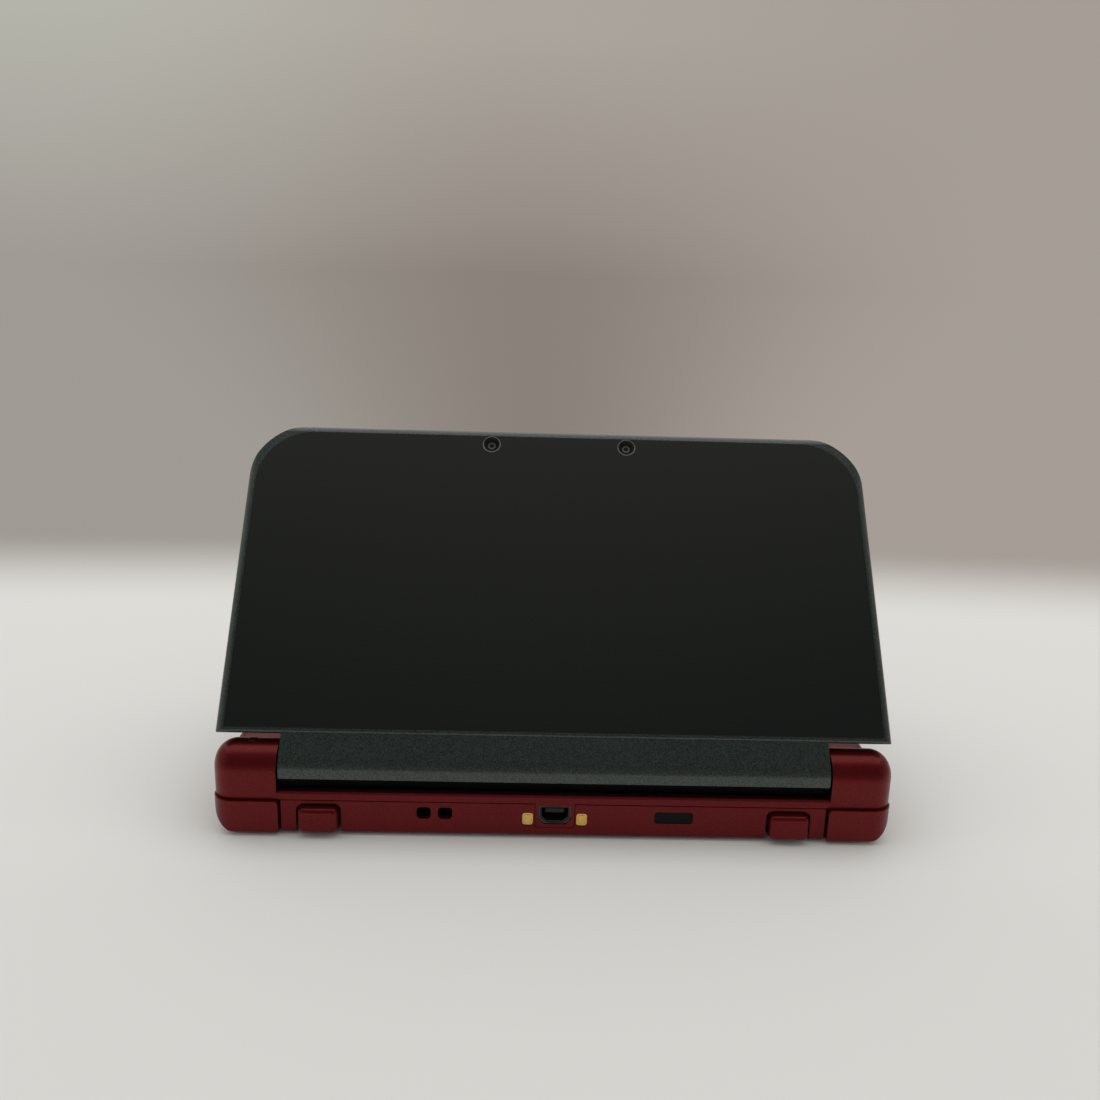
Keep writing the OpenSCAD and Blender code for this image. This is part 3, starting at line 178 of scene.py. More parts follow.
def mixed(tree, share, first, second):
    """Colour between first and second, which are colours or colour outputs, by share."""
    mix = tree.nodes.new("ShaderNodeMix")
    mix.data_type = "RGBA"
    tree.links.new(share, mix.inputs["Factor"])
    for socket, colour in ((mix.inputs[6], first), (mix.inputs[7], second)):
        if isinstance(colour, tuple):
            socket.default_value = (*colour, 1)
        else:
            tree.links.new(colour, socket)
    return mix.outputs[2]


def between_sides(tree, sideways, middle, left, right):
    """Colour of middle that turns to left or right as sideways nears SIDE_FADE on that side."""
    for side, colour in ((1, left), (-1, right)):
        share = spread(tree, maths(tree, "MULTIPLY", sideways, side), 0.0, 1.0, 0.0, SIDE_FADE, smooth=True)
        middle = mixed(tree, share, middle, colour)
    return middle


def joined(tree, share, first, second):
    """Shader that goes from first to second by share."""
    both = tree.nodes.new("ShaderNodeMixShader")
    for socket, source in zip(both.inputs, (share, first.outputs[0], second.outputs[0])):
        tree.links.new(source, socket)
    return both.outputs[0]


# Gloss, glass and the camera see the backdrop, which turns into a dimmer room behind the camera. All other
# rays see the even fill, which is what lights the console together with the soft box. The backdrop's colours
# are painted light and shade: darker in the middle low down, a painted shadow of the console, and lighter
# higher up and on the left.
world = bpy.data.worlds.new("studio")
world.use_nodes = True
tree = world.node_tree
tree.nodes.clear()
x, y, z = axes(tree, tree.nodes.new("ShaderNodeTexCoord").outputs["Generated"])
wall = between_sides(
    tree, x,
    ramp(tree, z, [(0.0, MIDDLE_SHADOW_LOW), (0.05, (0.305, 0.267, 0.239)), (0.20, (0.41, 0.372, 0.333)),
                   (0.45, (0.42, 0.385, 0.350))] + CEILING),
    ramp(tree, z, [(0.0, LEFT_LOW), (0.22, LEFT_HIGH), (0.45, LEFT_HIGH)] + CEILING),
    ramp(tree, z, [(0.0, RIGHT), (0.45, RIGHT)] + CEILING))
room = ramp(tree, z, [(0.0, (0.17, 0.155, 0.14)), (0.5, (0.09, 0.095, 0.09))] + CEILING)
backdrop = tree.nodes.new("ShaderNodeBackground")
tree.links.new(mixed(tree, spread(tree, y, 0.0, 1.0, 0.2, 0.8), wall, room), backdrop.inputs[0])
fill = tree.nodes.new("ShaderNodeBackground")
fixed(fill, Color=(*FILL_COLOUR, 1), Strength=FILL_STRENGTH)
tree.links.new(joined(tree, shown_directly(tree), fill, backdrop),
               tree.nodes.new("ShaderNodeOutputWorld").inputs[0])
bpy.context.scene.world = world


def sweep_disc(radii, spokes):
    """Disc in the XY plane: points r (cos t, sin t) for each of the radii r and even angles t."""
    around = np.arange(spokes) * 2 * np.pi / spokes
    ring = np.stack([np.cos(around), np.sin(around), 0 * around], -1)
    points = np.vstack([[[0, 0, 0]], (np.array(radii)[:, None, None] * ring).reshape(-1, 3)])
    here = 1 + np.arange(len(radii) * spokes).reshape(len(radii), spokes)
    after = np.roll(here, -1, axis=1)
    fan = np.stack([0 * here[0], here[0], after[0]], -1).tolist()
    quads = np.stack([here[:-1], here[1:], after[1:], after[:-1]], -1).reshape(-1, 4).tolist()
    mesh = bpy.data.meshes.new("table")
    mesh.from_pydata(points.tolist(), [], fan + quads)
    return mesh


table = bpy.data.objects.new("table", sweep_disc([0.25, 0.5, 1.5, 5.0, 12.0], 96))
bpy.context.scene.collection.objects.link(table)
paper = bpy.data.materials.new("paper")
paper.use_nodes = True
tree = paper.node_tree
matt = tree.nodes["Principled BSDF"]
fixed(matt, Base_Color=(*PAPER_PALE, 1), Roughness=0.8, Specular_IOR_Level=0.15)
place = tree.nodes.new("ShaderNodeTexCoord").outputs["Object"]
sideways = axes(tree, measured(tree, place, "NORMALIZE", "Vector"))[0]
# Further out the paper glows in the backdrop's colours instead of being lit, with the same painted shadow in
# the middle.
glow = tree.nodes.new("ShaderNodeEmission")
tree.links.new(between_sides(tree, sideways, MIDDLE_SHADOW_LOW, LEFT_LOW, RIGHT), glow.inputs[0])
reach = measured(tree, mapped(tree, place, Scale=(PAPER_SQUASH, 1, 1)), "LENGTH", "Value")
tree.links.new(joined(tree, spread(tree, reach, 0.0, 1.0, PAPER_START, PAPER_END, smooth=True), matt, glow),
               tree.nodes["Material Output"].inputs["Surface"])
table.data.materials.append(paper)

# ---------------------------------------------------------------- covers of the lower half
# Bottom cover, housing, deck panel and the four shoulder and trigger caps: moulded ABS, sprayed with a
# satin wine-red metallic paint. The cover is held from below by five screws; the rest clips or hinges.


def soften(node, radius, steps=2):
    """Rounds the sharp edges of a CAD node: its loose triangles are joined, flat areas are made
    one face, edges that turn more than 32 degrees are rounded, and flats keep flat shading."""
    join = nodes[node].modifiers.new("join", "WELD")
    join.merge_threshold = 0.002 * MM
    flat = nodes[node].modifiers.new("flat", "DECIMATE")
    flat.decimate_type = "DISSOLVE"
    flat.angle_limit = math.radians(0.5)
    edge = nodes[node].modifiers.new("edge", "BEVEL")
    edge.width = radius * MM
    edge.segments = steps
    edge.limit_method = "ANGLE"
    edge.angle_limit = math.radians(32)
    even = nodes[node].modifiers.new("even", "WEIGHTED_NORMAL")
    even.keep_sharp = False


def finish(name):
    """New node material: gives it back with its tree, its shader and the piece's own coordinates."""
    material = bpy.data.materials.new(name)
    material.use_nodes = True
    tree = material.node_tree
    place = tree.nodes.new("ShaderNodeTexCoord").outputs["Object"]
    return material, tree, tree.nodes["Principled BSDF"], place


def cloud(tree, place, size, detail=2.0):
    """Noise from 0 to 1 whose patches are about size millimetres across."""
    noise = tree.nodes.new("ShaderNodeTexNoise")
    fixed(noise, Scale=1 / (size * MM), Detail=detail)
    tree.links.new(place, noise.inputs["Vector"])
    return noise.outputs["Fac"]


def flakes(tree, place, size):
    """Random value from 0 to 1 for each cell about size millimetres across, as for metal flakes."""
    cells = tree.nodes.new("ShaderNodeTexVoronoi")
    fixed(cells, Scale=1 / (size * MM))
    tree.links.new(place, cells.inputs["Vector"])
    grey = tree.nodes.new("ShaderNodeSeparateColor")
    tree.links.new(cells.outputs["Color"], grey.inputs[0])
    return grey.outputs[0]


def relief(tree, shader, value, depth):
    """Bump of depth millimetres from value, laid over any relief already there."""
    bump = tree.nodes.new("ShaderNodeBump")
    fixed(bump, Distance=depth * MM)
    tree.links.new(value, bump.inputs["Height"])
    before = shader.inputs["Normal"]
    if before.is_linked:
        tree.links.new(before.links[0].from_socket, bump.inputs["Normal"])
    tree.links.new(bump.outputs[0], before)


def dress(node, material, radius, steps=2):
    """Gives a CAD node its finish, and rounds its edges by radius millimetres, or not at all for 0."""
    nodes[node].data.materials.clear()
    nodes[node].data.materials.append(material)
    if radius:
        soften(node, radius, steps)


def all_of(tree, first, *others):
    """1 where each of these is 1."""
    for other in others:
        first = maths(tree, "MULTIPLY", first, other)
    return first


# Painted near-black: the hollow of the case, and the trough under the lid's barrel. Partly bare moulding
# where the spray doesn't reach, partly painted shade where these deep recesses fall dark.
case_low, case_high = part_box("bottom_cover")
WALL = 1.35 * MM
HOLLOW_HALF = 70.0 * MM
HOLLOW_FRONT, HOLLOW_BACK = case_low.y + WALL, case_high.y - WALL
HOLLOW_FLOOR, HOLLOW_ROOF = 1.8 * MM, 12.0 * MM
HINGE = next(joint["pos_m"] for joint in frame["record"]["behaviour"]["joints"]
             if joint["name"] == "lid_hinge")
TROUGH_RADIUS = 6.7 * MM
TROUGH_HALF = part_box("barrel_cover")[1].x + 0.45 * MM


def shaded_inner_walls(tree, place):
    """1 inside the case: behind the back wall, above the floor and away from the two rounded sides;
    and in the round trough under the lid's barrel, a cylinder about the hinge axis."""
    x, y, z = axes(tree, place)
    away = maths(tree, "ABSOLUTE", x)
    hollow = all_of(tree, maths(tree, "LESS_THAN", away, HOLLOW_HALF),
                    maths(tree, "GREATER_THAN", y, HOLLOW_FRONT), maths(tree, "LESS_THAN", y, HOLLOW_BACK),
                    maths(tree, "GREATER_THAN", z, HOLLOW_FLOOR), maths(tree, "LESS_THAN", z, HOLLOW_ROOF))
    across, above = maths(tree, "SUBTRACT", y, HINGE[1]), maths(tree, "SUBTRACT", z, HINGE[2])
    reach = maths(tree, "SQRT", maths(tree, "ADD", maths(tree, "MULTIPLY", across, across),
                                      maths(tree, "MULTIPLY", above, above)))
    trough = all_of(tree, maths(tree, "LESS_THAN", reach, TROUGH_RADIUS),
                    maths(tree, "LESS_THAN", away, TROUGH_HALF))
    return maths(tree, "MAXIMUM", hollow, trough)


BARE_AND_SHADED_MOULDING = (0.006, 0.006, 0.006)
FLAKE_STEP = 0.0012                         # how far flakes stand apart in height, in millimetres
PEEL_SIZE, PEEL_DEPTH = 0.9, 0.003


def metallic_paint(name, deep, bright, metal, roughness, grain, coat, bare_and_shaded=None):
    """Metallic paint: flakes of two tones, grain millimetres across, with a faint orange-peel skin, under a
    clear coat of (weight, roughness). bare_and_shaded(tree, place) gives 1 where the paint turns to
    near-black:
    bare moulding and painted shade."""
    material, tree, shader, place = finish(name)
    flake = spread(tree, flakes(tree, place, grain), 0.0, 1.0, 0.0, 1.0)
    tone = mixed(tree, flake, deep, bright)
    colour = mixed(tree, spread(tree, cloud(tree, place, 22), 0.0, 0.16), tone, bright)
    if bare_and_shaded:
        bare_and_shade = bare_and_shaded(tree, place)
        colour = mixed(tree, bare_and_shade, colour, BARE_AND_SHADED_MOULDING)
        tree.links.new(spread(tree, bare_and_shade, metal, 0.0, 0.0, 1.0), shader.inputs["Metallic"])
    else:
        fixed(shader, Metallic=metal)
    tree.links.new(colour, shader.inputs["Base Color"])
    tree.links.new(spread(tree, cloud(tree, place, 0.5), roughness - 0.03, roughness + 0.05),
                   shader.inputs["Roughness"])
    fixed(shader, Specular_IOR_Level=0.2, Coat_Weight=coat[0], Coat_Roughness=coat[1])
    relief(tree, shader, flake, FLAKE_STEP)
    relief(tree, shader, cloud(tree, place, PEEL_SIZE), PEEL_DEPTH)
    return material


# The wine paint turns near-black inside the case and in the trough: painted shade over bare moulding.
wine = metallic_paint("wine_metallic", (0.084, 0.0022, 0.0032), (0.168, 0.0060, 0.0080), metal=0.66,
                      roughness=0.36, grain=0.16, coat=(0.20, 0.22), bare_and_shaded=shaded_inner_walls)
for node in ("bottom_cover", "lower_housing", "deck_panel"):
    dress(node, wine, 0.18)
for node in ("shoulder_left", "shoulder_right"):
    dress(node, wine, 0.40, steps=3)


def skin(name, *ring_sets, body, material, slot, stands_for, crease=32):
    """One piece through rings of points in millimetres. Each set is an array (levels, around, 3): four-sided
    faces join a ring to the next, and one flat face closes the set at each end. A set whose last ring is its
    first is a hoop, and runs on into itself instead. Edges that turn more than crease degrees stay sharp."""
    points, faces, count = [], [], 0
    for rings in ring_sets:
        hoop = np.allclose(rings[0], rings[-1])
        rings = rings[:-1] if hoop else rings
        here = count + np.arange(rings.shape[0] * rings.shape[1]).reshape(rings.shape[:2])
        if hoop:
            here = np.vstack([here, here[:1]])
        else:
            faces += [here[0].tolist(), here[-1].tolist()]
        after = np.roll(here, -1, axis=1)
        faces += np.stack([here[:-1], after[:-1], after[1:], here[1:]], -1).reshape(-1, 4).tolist()
        points.append(rings.reshape(-1, 3))
        count += rings.shape[0] * rings.shape[1]
    mesh = bpy.data.meshes.new(name)
    mesh.from_pydata((np.vstack(points) * MM).tolist(), [], faces)
    outward = bmesh.new()
    outward.from_mesh(mesh)
    bmesh.ops.recalc_face_normals(outward, faces=outward.faces)
    outward.to_mesh(mesh)
    outward.free()
    mesh.shade_smooth()
    mesh.set_sharp_from_angle(angle=math.radians(crease))
    mesh.materials.append(material)
    piece = bpy.data.objects.new(name, mesh)
    bpy.context.scene.collection.objects.link(piece)
    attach(piece, body)
    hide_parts(stands_for)


def rounded(half_a, half_b, corner, steps=8):
    """Outline of a rectangle with rounded corners as points (a, b): a quarter circle at each corner."""
    quarter = np.linspace(0, np.pi / 2, steps + 1)
    signs = np.array([[1, 1], [-1, 1], [-1, -1], [1, -1]])
    turns = quarter + np.arange(4)[:, None] * np.pi / 2
    centres = signs * [half_a - corner, half_b - corner]
    bends = corner * np.stack([np.cos(turns), np.sin(turns)], -1)
    return (centres[:, None, :] + bends).reshape(-1, 2)


def rounding(radius, steps=6):
    """Steps over a rounded edge as (inset, drop) pairs: a quarter circle from the side to the top face."""
    turn = np.linspace(0, np.pi / 2, steps + 1)
    return np.stack([radius * (1 - np.cos(turn)), radius * (1 - np.sin(turn))], -1)


def along_y(outlines, depths):
    """Rings that lie across Y: each outline holds (x, z) points and stands at its own y."""
    return np.array([np.stack([line[:, 0], 0 * line[:, 0] + y, line[:, 1]], -1)
                     for line, y in zip(outlines, depths)])


def corners_mm(node):
    """Lowest and highest corner of a CAD node at rest, in millimetres."""
    low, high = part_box(node)
    return np.array(low) / MM, np.array(high) / MM


TRIGGER_DEPTH, TRIGGER_CORNER, TRIGGER_ROUND = 6.5, 1.3, 1.15
LIP_OUT, LIP_UP, LIP_DOWN = 1.5, 2.1, 0.1   # beyond the cap's ends, above its foot and below its top
LIP_BACK, LIP_FRONT = 4.6, 3.55             # behind the cap's face


def trigger_skin(low, high):
    """Rings along Y. The cap is a rounded rectangle whose outline is drawn in over the last millimetre as a
    quarter circle, so that all its outer edges are round; the second set is the wide lip inside the case."""
    middle, half, face = (low[0] + high[0]) / 2, (high[0] - low[0]) / 2, high[1]
    cap = [(0.0, face - TRIGGER_DEPTH)] + [(inset, face - drop) for inset, drop in rounding(TRIGGER_ROUND)]
    lip = [(0.0, face - LIP_BACK), (0.0, face - LIP_FRONT)]
    sets = []
    for levels, half_a, bottom, top, corner in (
            (cap, half - LIP_OUT, low[2], high[2], TRIGGER_CORNER),
            (lip, half, low[2] + LIP_UP, high[2] - LIP_DOWN, 0.3)):
        outlines = [rounded(half_a - inset, (top - bottom) / 2 - inset, max(0.3, corner - inset / 2))
                    + [middle, (bottom + top) / 2] for inset, _ in levels]
        sets.append(along_y(outlines, [y for _, y in levels]))
    return sets


for side in ("left", "right"):
    skin("trigger_cap_" + side, *trigger_skin(*corners_mm("trigger_" + side)), body="trigger_" + side,
         material=wine, slot="wine_metallic", stands_for="trigger_" + side)

# ---------------------------------------------------------------- deck and touch screen
# A black plastic frame is let into the deck round the touch screen, whose film has a fine matt face.
# Under it lies the lower screen, a glass panel in a bent steel tray.


def moulded(name, colour, roughness, grain=0.35, depth=0.004):
    """Moulded plastic: one colour with a faint lighter cast, and a spark-eroded skin whose pits are grain
    millimetres across and depth deep."""
    material, tree, shader, place = finish(name)
    lighter = tuple(c + 0.25 * (c + 0.004) for c in colour)
    cast = spread(tree, cloud(tree, place, 9, 3), 0.0, 1.0)
    tree.links.new(mixed(tree, cast, colour, lighter), shader.inputs["Base Color"])
    pits = cloud(tree, place, grain, 3)
    tree.links.new(spread(tree, pits, roughness - 0.05, roughness + 0.06), shader.inputs["Roughness"])
    relief(tree, shader, pits, depth)
    return material


frame_black = moulded("frame_black", (0.014, 0.014, 0.015), 0.42)
dress("touch_bezel", frame_black, 0.12)

CELL = 0.25 * MM


def screen_face(name, width, field, border, roughness):
    """Screen cover: a slightly lighter field of that width in millimetres, centred on X, with a faint
    grid of cells, between dark borders."""
    material, tree, shader, place = finish(name)
    inside = maths(tree, "LESS_THAN", maths(tree, "ABSOLUTE", axes(tree, place)[0]), width / 2 * MM)
    grid = tree.nodes.new("ShaderNodeTexChecker")
    fixed(grid, Scale=1 / CELL, Color1=(*field, 1), Color2=(*(0.82 * c for c in field), 1))
    tree.links.new(place, grid.inputs["Vector"])
    tree.links.new(mixed(tree, inside, border, grid.outputs["Color"]), shader.inputs["Base Color"])
    smears = spread(tree, cloud(tree, place, 14, 4), roughness, roughness + 0.05, 0.45, 0.75)
    tree.links.new(smears, shader.inputs["Roughness"])
    fixed(shader, IOR=1.5)
    return material


touch_film = screen_face("touch_film", 85.0, field=(0.026, 0.029, 0.031), border=(0.018, 0.019, 0.020),
                         roughness=0.22)
dress("touch_panel", touch_film, 0.1)


def bare_metal(name, colour, roughness, stretch=(1, 1, 14), mark=0.3):
    """Bare or plated metal. Marks of mark millimetres, made finer along each axis by its stretch, change
    its roughness and its height."""
    material, tree, shader, place = finish(name)
    marks = cloud(tree, mapped(tree, place, Scale=stretch), mark, 4)
    dull = tuple(0.82 * c for c in colour)
    tree.links.new(mixed(tree, spread(tree, marks, 0.0, 1.0), dull, colour), shader.inputs["Base Color"])
    tree.links.new(spread(tree, marks, roughness - 0.05, roughness + 0.08), shader.inputs["Roughness"])
    fixed(shader, Metallic=1.0)
    relief(tree, shader, marks, 0.002)
    return material


tray_steel = bare_metal("tray_steel", (0.56, 0.57, 0.58), 0.32)
dress("lower_lcd", tray_steel, 0.2)

# ---------------------------------------------------------------- boards, battery and card slots
# Two glass-fibre boards hang under the housing's floor with their chips face down. The battery is a
# flat cell in a shrunk wrap, and the two card slots are folded from plated steel.

TRACK_STEP = 3.2 * MM


def board_finish():
    """Green solder mask with straight copper tracks showing through as slightly lighter lines."""
    material, tree, shader, place = finish("circuit_board")
    tracks = tree.nodes.new("ShaderNodeTexBrick")
    fixed(tracks, Scale=1 / TRACK_STEP, Mortar_Size=0.06, Color1=(0.010, 0.050, 0.022, 1),
          Color2=(0.012, 0.060, 0.026, 1), Mortar=(0.030, 0.105, 0.045, 1))
    tree.links.new(place, tracks.inputs["Vector"])
    tree.links.new(tracks.outputs["Color"], shader.inputs["Base Color"])
    tree.links.new(spread(tree, cloud(tree, place, 1.5), 0.30, 0.42), shader.inputs["Roughness"])
    relief(tree, shader, tracks.outputs["Fac"], 0.01)
    return material


board_green = board_finish()
cell_wrap = moulded("cell_wrap", (0.030, 0.034, 0.044), 0.5, grain=1.2, depth=0.01)
for node in ("main_board", "pad_board"):
    dress(node, board_green, 0)
dress("battery", cell_wrap, 0.4)
for node in ("card_slot", "microsd_socket"):
    dress(node, tray_steel, 0.1)

# ---------------------------------------------------------------- fittings of the back wall
# Between the triggers sit the charging port, a folded nickel-plated shell round a black tongue with its
# contacts, and two embossed gold-plated pads that meet the cradle. Beside them is the infrared window.


def bent(corners, radius, steps=5):
    """Closed outline through corners (points, 2), each corner rounded by the parabola that touches both of
    its sides at the given distance: (1-s)^2 before + 2s(1-s) corner + s^2 after."""
    corners = np.array(corners, float)
    before, after = np.roll(corners, 1, axis=0) - corners, np.roll(corners, -1, axis=0) - corners
    start = corners + radius * before / np.linalg.norm(before, axis=1, keepdims=True)
    stop = corners + radius * after / np.linalg.norm(after, axis=1, keepdims=True)
    s = np.linspace(0, 1, steps + 1)[None, :, None]
    start, middle, stop = start[:, None], corners[:, None], stop[:, None]
    return ((1 - s) ** 2 * start + 2 * s * (1 - s) * middle + s ** 2 * stop).reshape(-1, 2)


port_low, port_high = corners_mm("charge_port")
PORT_BACK, PORT_FACE = port_low[1], port_high[1]
PORT_CUT, PORT_BEND = 1.3, 0.55


def port_mouth(inset):
    """The port's outline drawn in by inset: square above, and its two lower corners cut off at an angle."""
    half, cut = (port_high[0] - port_low[0]) / 2 - inset, PORT_CUT - 0.3 * inset
    bottom, top = port_low[2] + inset, port_high[2] - inset
    return bent([(-half, bottom + cut), (-half + cut, bottom), (half - cut, bottom), (half, bottom + cut),
                 (half, top), (-half, top)], PORT_BEND - 0.5 * inset)


# Levels of (inset, y): along the outside, round the rim and back in; the dark liner goes the same way.
shell = [(0, PORT_BACK), (0, PORT_FACE - 0.06), (0.05, PORT_FACE), (0.14, PORT_FACE), (0.20, PORT_FACE - 0.1),
         (0.22, PORT_BACK + 0.7)]
liner = [(0.23, PORT_BACK + 0.75), (0.23, PORT_FACE - 0.25), (0.62, PORT_FACE - 0.35),
         (0.62, PORT_BACK + 1.2)]
port_steel = bare_metal("port_steel", (0.20, 0.20, 0.195), 0.30)
port_dark = moulded("port_dark", (0.004, 0.004, 0.004), 0.5)
for name, levels, material, slot in (("port_shell", shell, port_steel, "steel"),
                                     ("port_liner", liner, port_dark, "black_plastic")):
    skin(name, along_y([port_mouth(inset) for inset, _ in levels], [y for _, y in levels]), body="base",
         material=material, slot=slot, stands_for="charge_port")

TONGUE_Z = port_high[2] - 1.8
TONGUE_FRONT = PORT_FACE - 1.25
tongue = rounded(2.3, 0.5, 0.15, 3) + [0, TONGUE_Z]
skin("port_tongue",
     along_y([tongue, tongue, tongue * [0.96, 1]], [PORT_BACK + 0.5, TONGUE_FRONT - 0.1, TONGUE_FRONT]),
     body="base", material=port_dark, slot="black_plastic", stands_for="charge_port")

CONTACTS_HALF, CONTACT_DROP = 1.6, 0.53     # half the row's width, and how far below the tongue's middle
strip = rounded(0.17, 0.04, 0.03, 2) + [0, TONGUE_Z - CONTACT_DROP]
gold_plate = bare_metal("gold_plate", (0.88, 0.56, 0.16), 0.30, stretch=(1, 1, 1), mark=0.7)
skin("port_contacts", *[along_y([strip + [x, 0]] * 2, [PORT_BACK + 1.5, TONGUE_FRONT - 0.25])
                        for x in np.linspace(-CONTACTS_HALF, CONTACTS_HALF, 5)],
     body="base", material=gold_plate, slot="gold_plate", stands_for="charge_port")

PAD_X, PAD_Z = (5.05, 7.65), (3.4, 6.5)     # the plate, and the larger foot that holds it from inside
FOOT_X, FOOT_Z = (4.75, 8.15), (2.9, 7.0)
FOOT_BACK, FOOT_FRONT = 1.78, 1.33          # behind the plate's face
PAD_FACE = corners_mm("cradle_contacts")[1][1]


def box_corners(across, up):
    """The four corners of a rectangle between two x values and two z values, anticlockwise."""
    return np.array([(across[0], up[0]), (across[1], up[0]), (across[1], up[1]), (across[0], up[1])])


def contact_pad(side):
    """One pad and its foot as rings along Y: a plate with a rounded rim, then a step in to a raised field."""
    pad = box_corners(PAD_X, PAD_Z)
    middle, half = pad.mean(axis=0), np.ptp(pad, axis=0) / 2
    levels = [(0.0, 1.7), (0.0, 0.16), (0.06, 0.09), (0.42, 0.09), (0.52, 0.01), (0.75, 0.0)]
    plate = [bent(middle + (pad - middle) * (1 - inset / half), 0.75 - 0.6 * inset) * [side, 1]
             for inset, _ in levels]
    foot = bent(box_corners(FOOT_X, FOOT_Z), 0.2) * [side, 1]
    return (along_y(plate, [PAD_FACE - drop for _, drop in levels]),
            along_y([foot, foot], [PAD_FACE - FOOT_BACK, PAD_FACE - FOOT_FRONT]))


skin("contact_pads", *contact_pad(-1), *contact_pad(1), body="base", material=gold_plate, slot="gold_plate",
     stands_for="cradle_contacts")


def tinted(name, colour, roughness):
    """Dark see-through plastic that reads as nearly black: a deep tint under a glossy face."""
    material, tree, shader, place = finish(name)
    depth = spread(tree, cloud(tree, place, 4), 0.0, 1.0)
    tree.links.new(mixed(tree, depth, colour, tuple(1.5 * c for c in colour)), shader.inputs["Base Color"])
    haze = spread(tree, cloud(tree, place, 2.5, 4), roughness, roughness + 0.04)
    tree.links.new(haze, shader.inputs["Roughness"])
    fixed(shader, Specular_IOR_Level=0.12)
    return material


ir_tint = tinted("ir_tint", (0.0016, 0.0020, 0.0030), 0.22)
dress("ir_window", ir_tint, 0.3, steps=3)

# ---------------------------------------------------------------- fittings of the front edge
# The headphone jack is a black moulded socket. Two smoked light pipes show charge and wireless beside the
# power button, and a third lies in the top of the right knuckle. The stylus is a turned plastic pen in a
# bore of the front edge, with a groove behind its head for a fingernail.

plastic_black = moulded("plastic_black", (0.017, 0.017, 0.018), 0.38)
dress("headphone_jack", plastic_black, 0.15)


def smoked_pipe():
    """Smoked light pipe: dark clear plastic that looks almost black while its lamp is off."""
    material, tree, shader, place = finish("light_pipe")
    haze = spread(tree, cloud(tree, place, 0.6, 3), 0.0, 1.0)
    smoke = mixed(tree, haze, (0.030, 0.022, 0.022), (0.050, 0.036, 0.034))
    tree.links.new(smoke, shader.inputs["Base Color"])
    tree.links.new(spread(tree, cloud(tree, place, 0.3), 0.22, 0.32), shader.inputs["Roughness"])
    return material


dress("light_pipes", smoked_pipe(), 0.1)
cap_plastic = moulded("cap_plastic", (0.022, 0.022, 0.023), 0.28, grain=0.5, depth=0.002)


def lathe(profile, centre, around=72, axis=2):
    """Profile of (radius, height) pairs turned about a line through centre that runs along axis: a pair
    gives a ring of points (r cos t, r sin t) at its height."""
    profile, turn = np.array(profile, float), np.arange(around) * 2 * np.pi / around
    across = profile[:, :1, None] * np.stack([np.cos(turn), np.sin(turn)], -1)[None]
    rings = np.zeros((len(profile), around, 3))
    rings[:, :, [i for i in range(3) if i != axis]] = across
    rings[:, :, axis] = profile[:, 1:]
    return rings + np.array(centre)


def edge_to(radius, top, corner, crown):
    """Profile pairs of a cap's top: the side turns over a quarter circle of radius corner, and from there
    the face, R across from its middle, rises by crown times 1 - (r/R)^2."""
    side = [(radius - inset, top - crown - drop) for inset, drop in rounding(corner)]
    face = np.linspace(1, 0.04 / (radius - corner), 6)[1:]
    return side + [((radius - corner) * f, top - crown * f ** 2) for f in face]


def middle_of(low, high):
    """The point halfway between two corners."""
    return (low + high) / 2


PEN_RADIUS, HEAD_RADIUS, HEAD_LENGTH = 2.2, 2.5, 3.1
pen_low, pen_high = corners_mm("stylus")
tip, butt = pen_high[1], pen_low[1]
neck = butt + HEAD_LENGTH
pen = [(0.05, butt), (1.2, butt)]
pen += [(HEAD_RADIUS - inset, butt + drop) for inset, drop in rounding(0.5)[::-1]]
pen += [(HEAD_RADIUS, neck), (2.4, neck + 0.1), (PEN_RADIUS, neck + 0.1), (PEN_RADIUS, tip - 5.0),
        (1.95, tip - 4.2), (0.95, tip - 0.7), (0.7, tip - 0.25), (0.35, tip - 0.03), (0.05, tip)]
skin("stylus_pen", lathe(pen, middle_of(pen_low, pen_high) * [1, 0, 1], axis=1), body="stylus",
     material=cap_plastic, slot="button_plastic", stands_for="stylus")

CAP_EDGE = 0.45                             # radius of the edge round a cap's face
POWER_HALF, POWER_FLANGE = np.array([4.0, 1.5]), np.array([5.0, 2.1])
key_low, key_high = corners_mm("power_button")
key_middle, face, back = middle_of(key_low, key_high)[[0, 2]], key_low[1], key_high[1]
power = [(0.9, face + 0.04), (0.7, face)]
power += [(inset, face + drop) for inset, drop in rounding(CAP_EDGE)[::-1]] + [(0.0, back)]
flange = rounded(*POWER_FLANGE, 1) + key_middle
skin("power_key", along_y([rounded(*(POWER_HALF - inset), 1.49 - inset) + key_middle for inset, _ in power],
                          [y for _, y in power]),
     along_y([flange, flange], [back - 1.05, back - 0.1]),
     body="power_button", material=cap_plastic, slot="button_plastic", stands_for="power_button")

# ---------------------------------------------------------------- buttons and pads
# Caps are moulded in dark glossy plastic and rest on silicone domes. The pad for the thumb is a
# dished disc with a grippy soft-touch face that slides on a carriage over a tray; the nub is fixed.

KEY_FLANGE, KEY_CROWN = 0.5, 0.16           # how far the flange stands out, and how far the face rises
FLANGE_LOW, FLANGE_HIGH = 0.6, 1.8          # above the foot


def round_key(low, high):
    """A round cap as a profile: a stem, the flange that keeps it in, the side, and a slightly domed top."""
    wide, foot = (high[0] - low[0]) / 2, low[2]
    radius = wide - KEY_FLANGE
    profile = [(0.05, foot), (radius, foot), (radius, foot + FLANGE_LOW), (wide, foot + FLANGE_LOW),
               (wide, foot + FLANGE_HIGH), (radius, foot + FLANGE_HIGH)]
    return lathe(profile + edge_to(radius, high[2], CAP_EDGE, KEY_CROWN), middle_of(low, high) * [1, 1, 0])


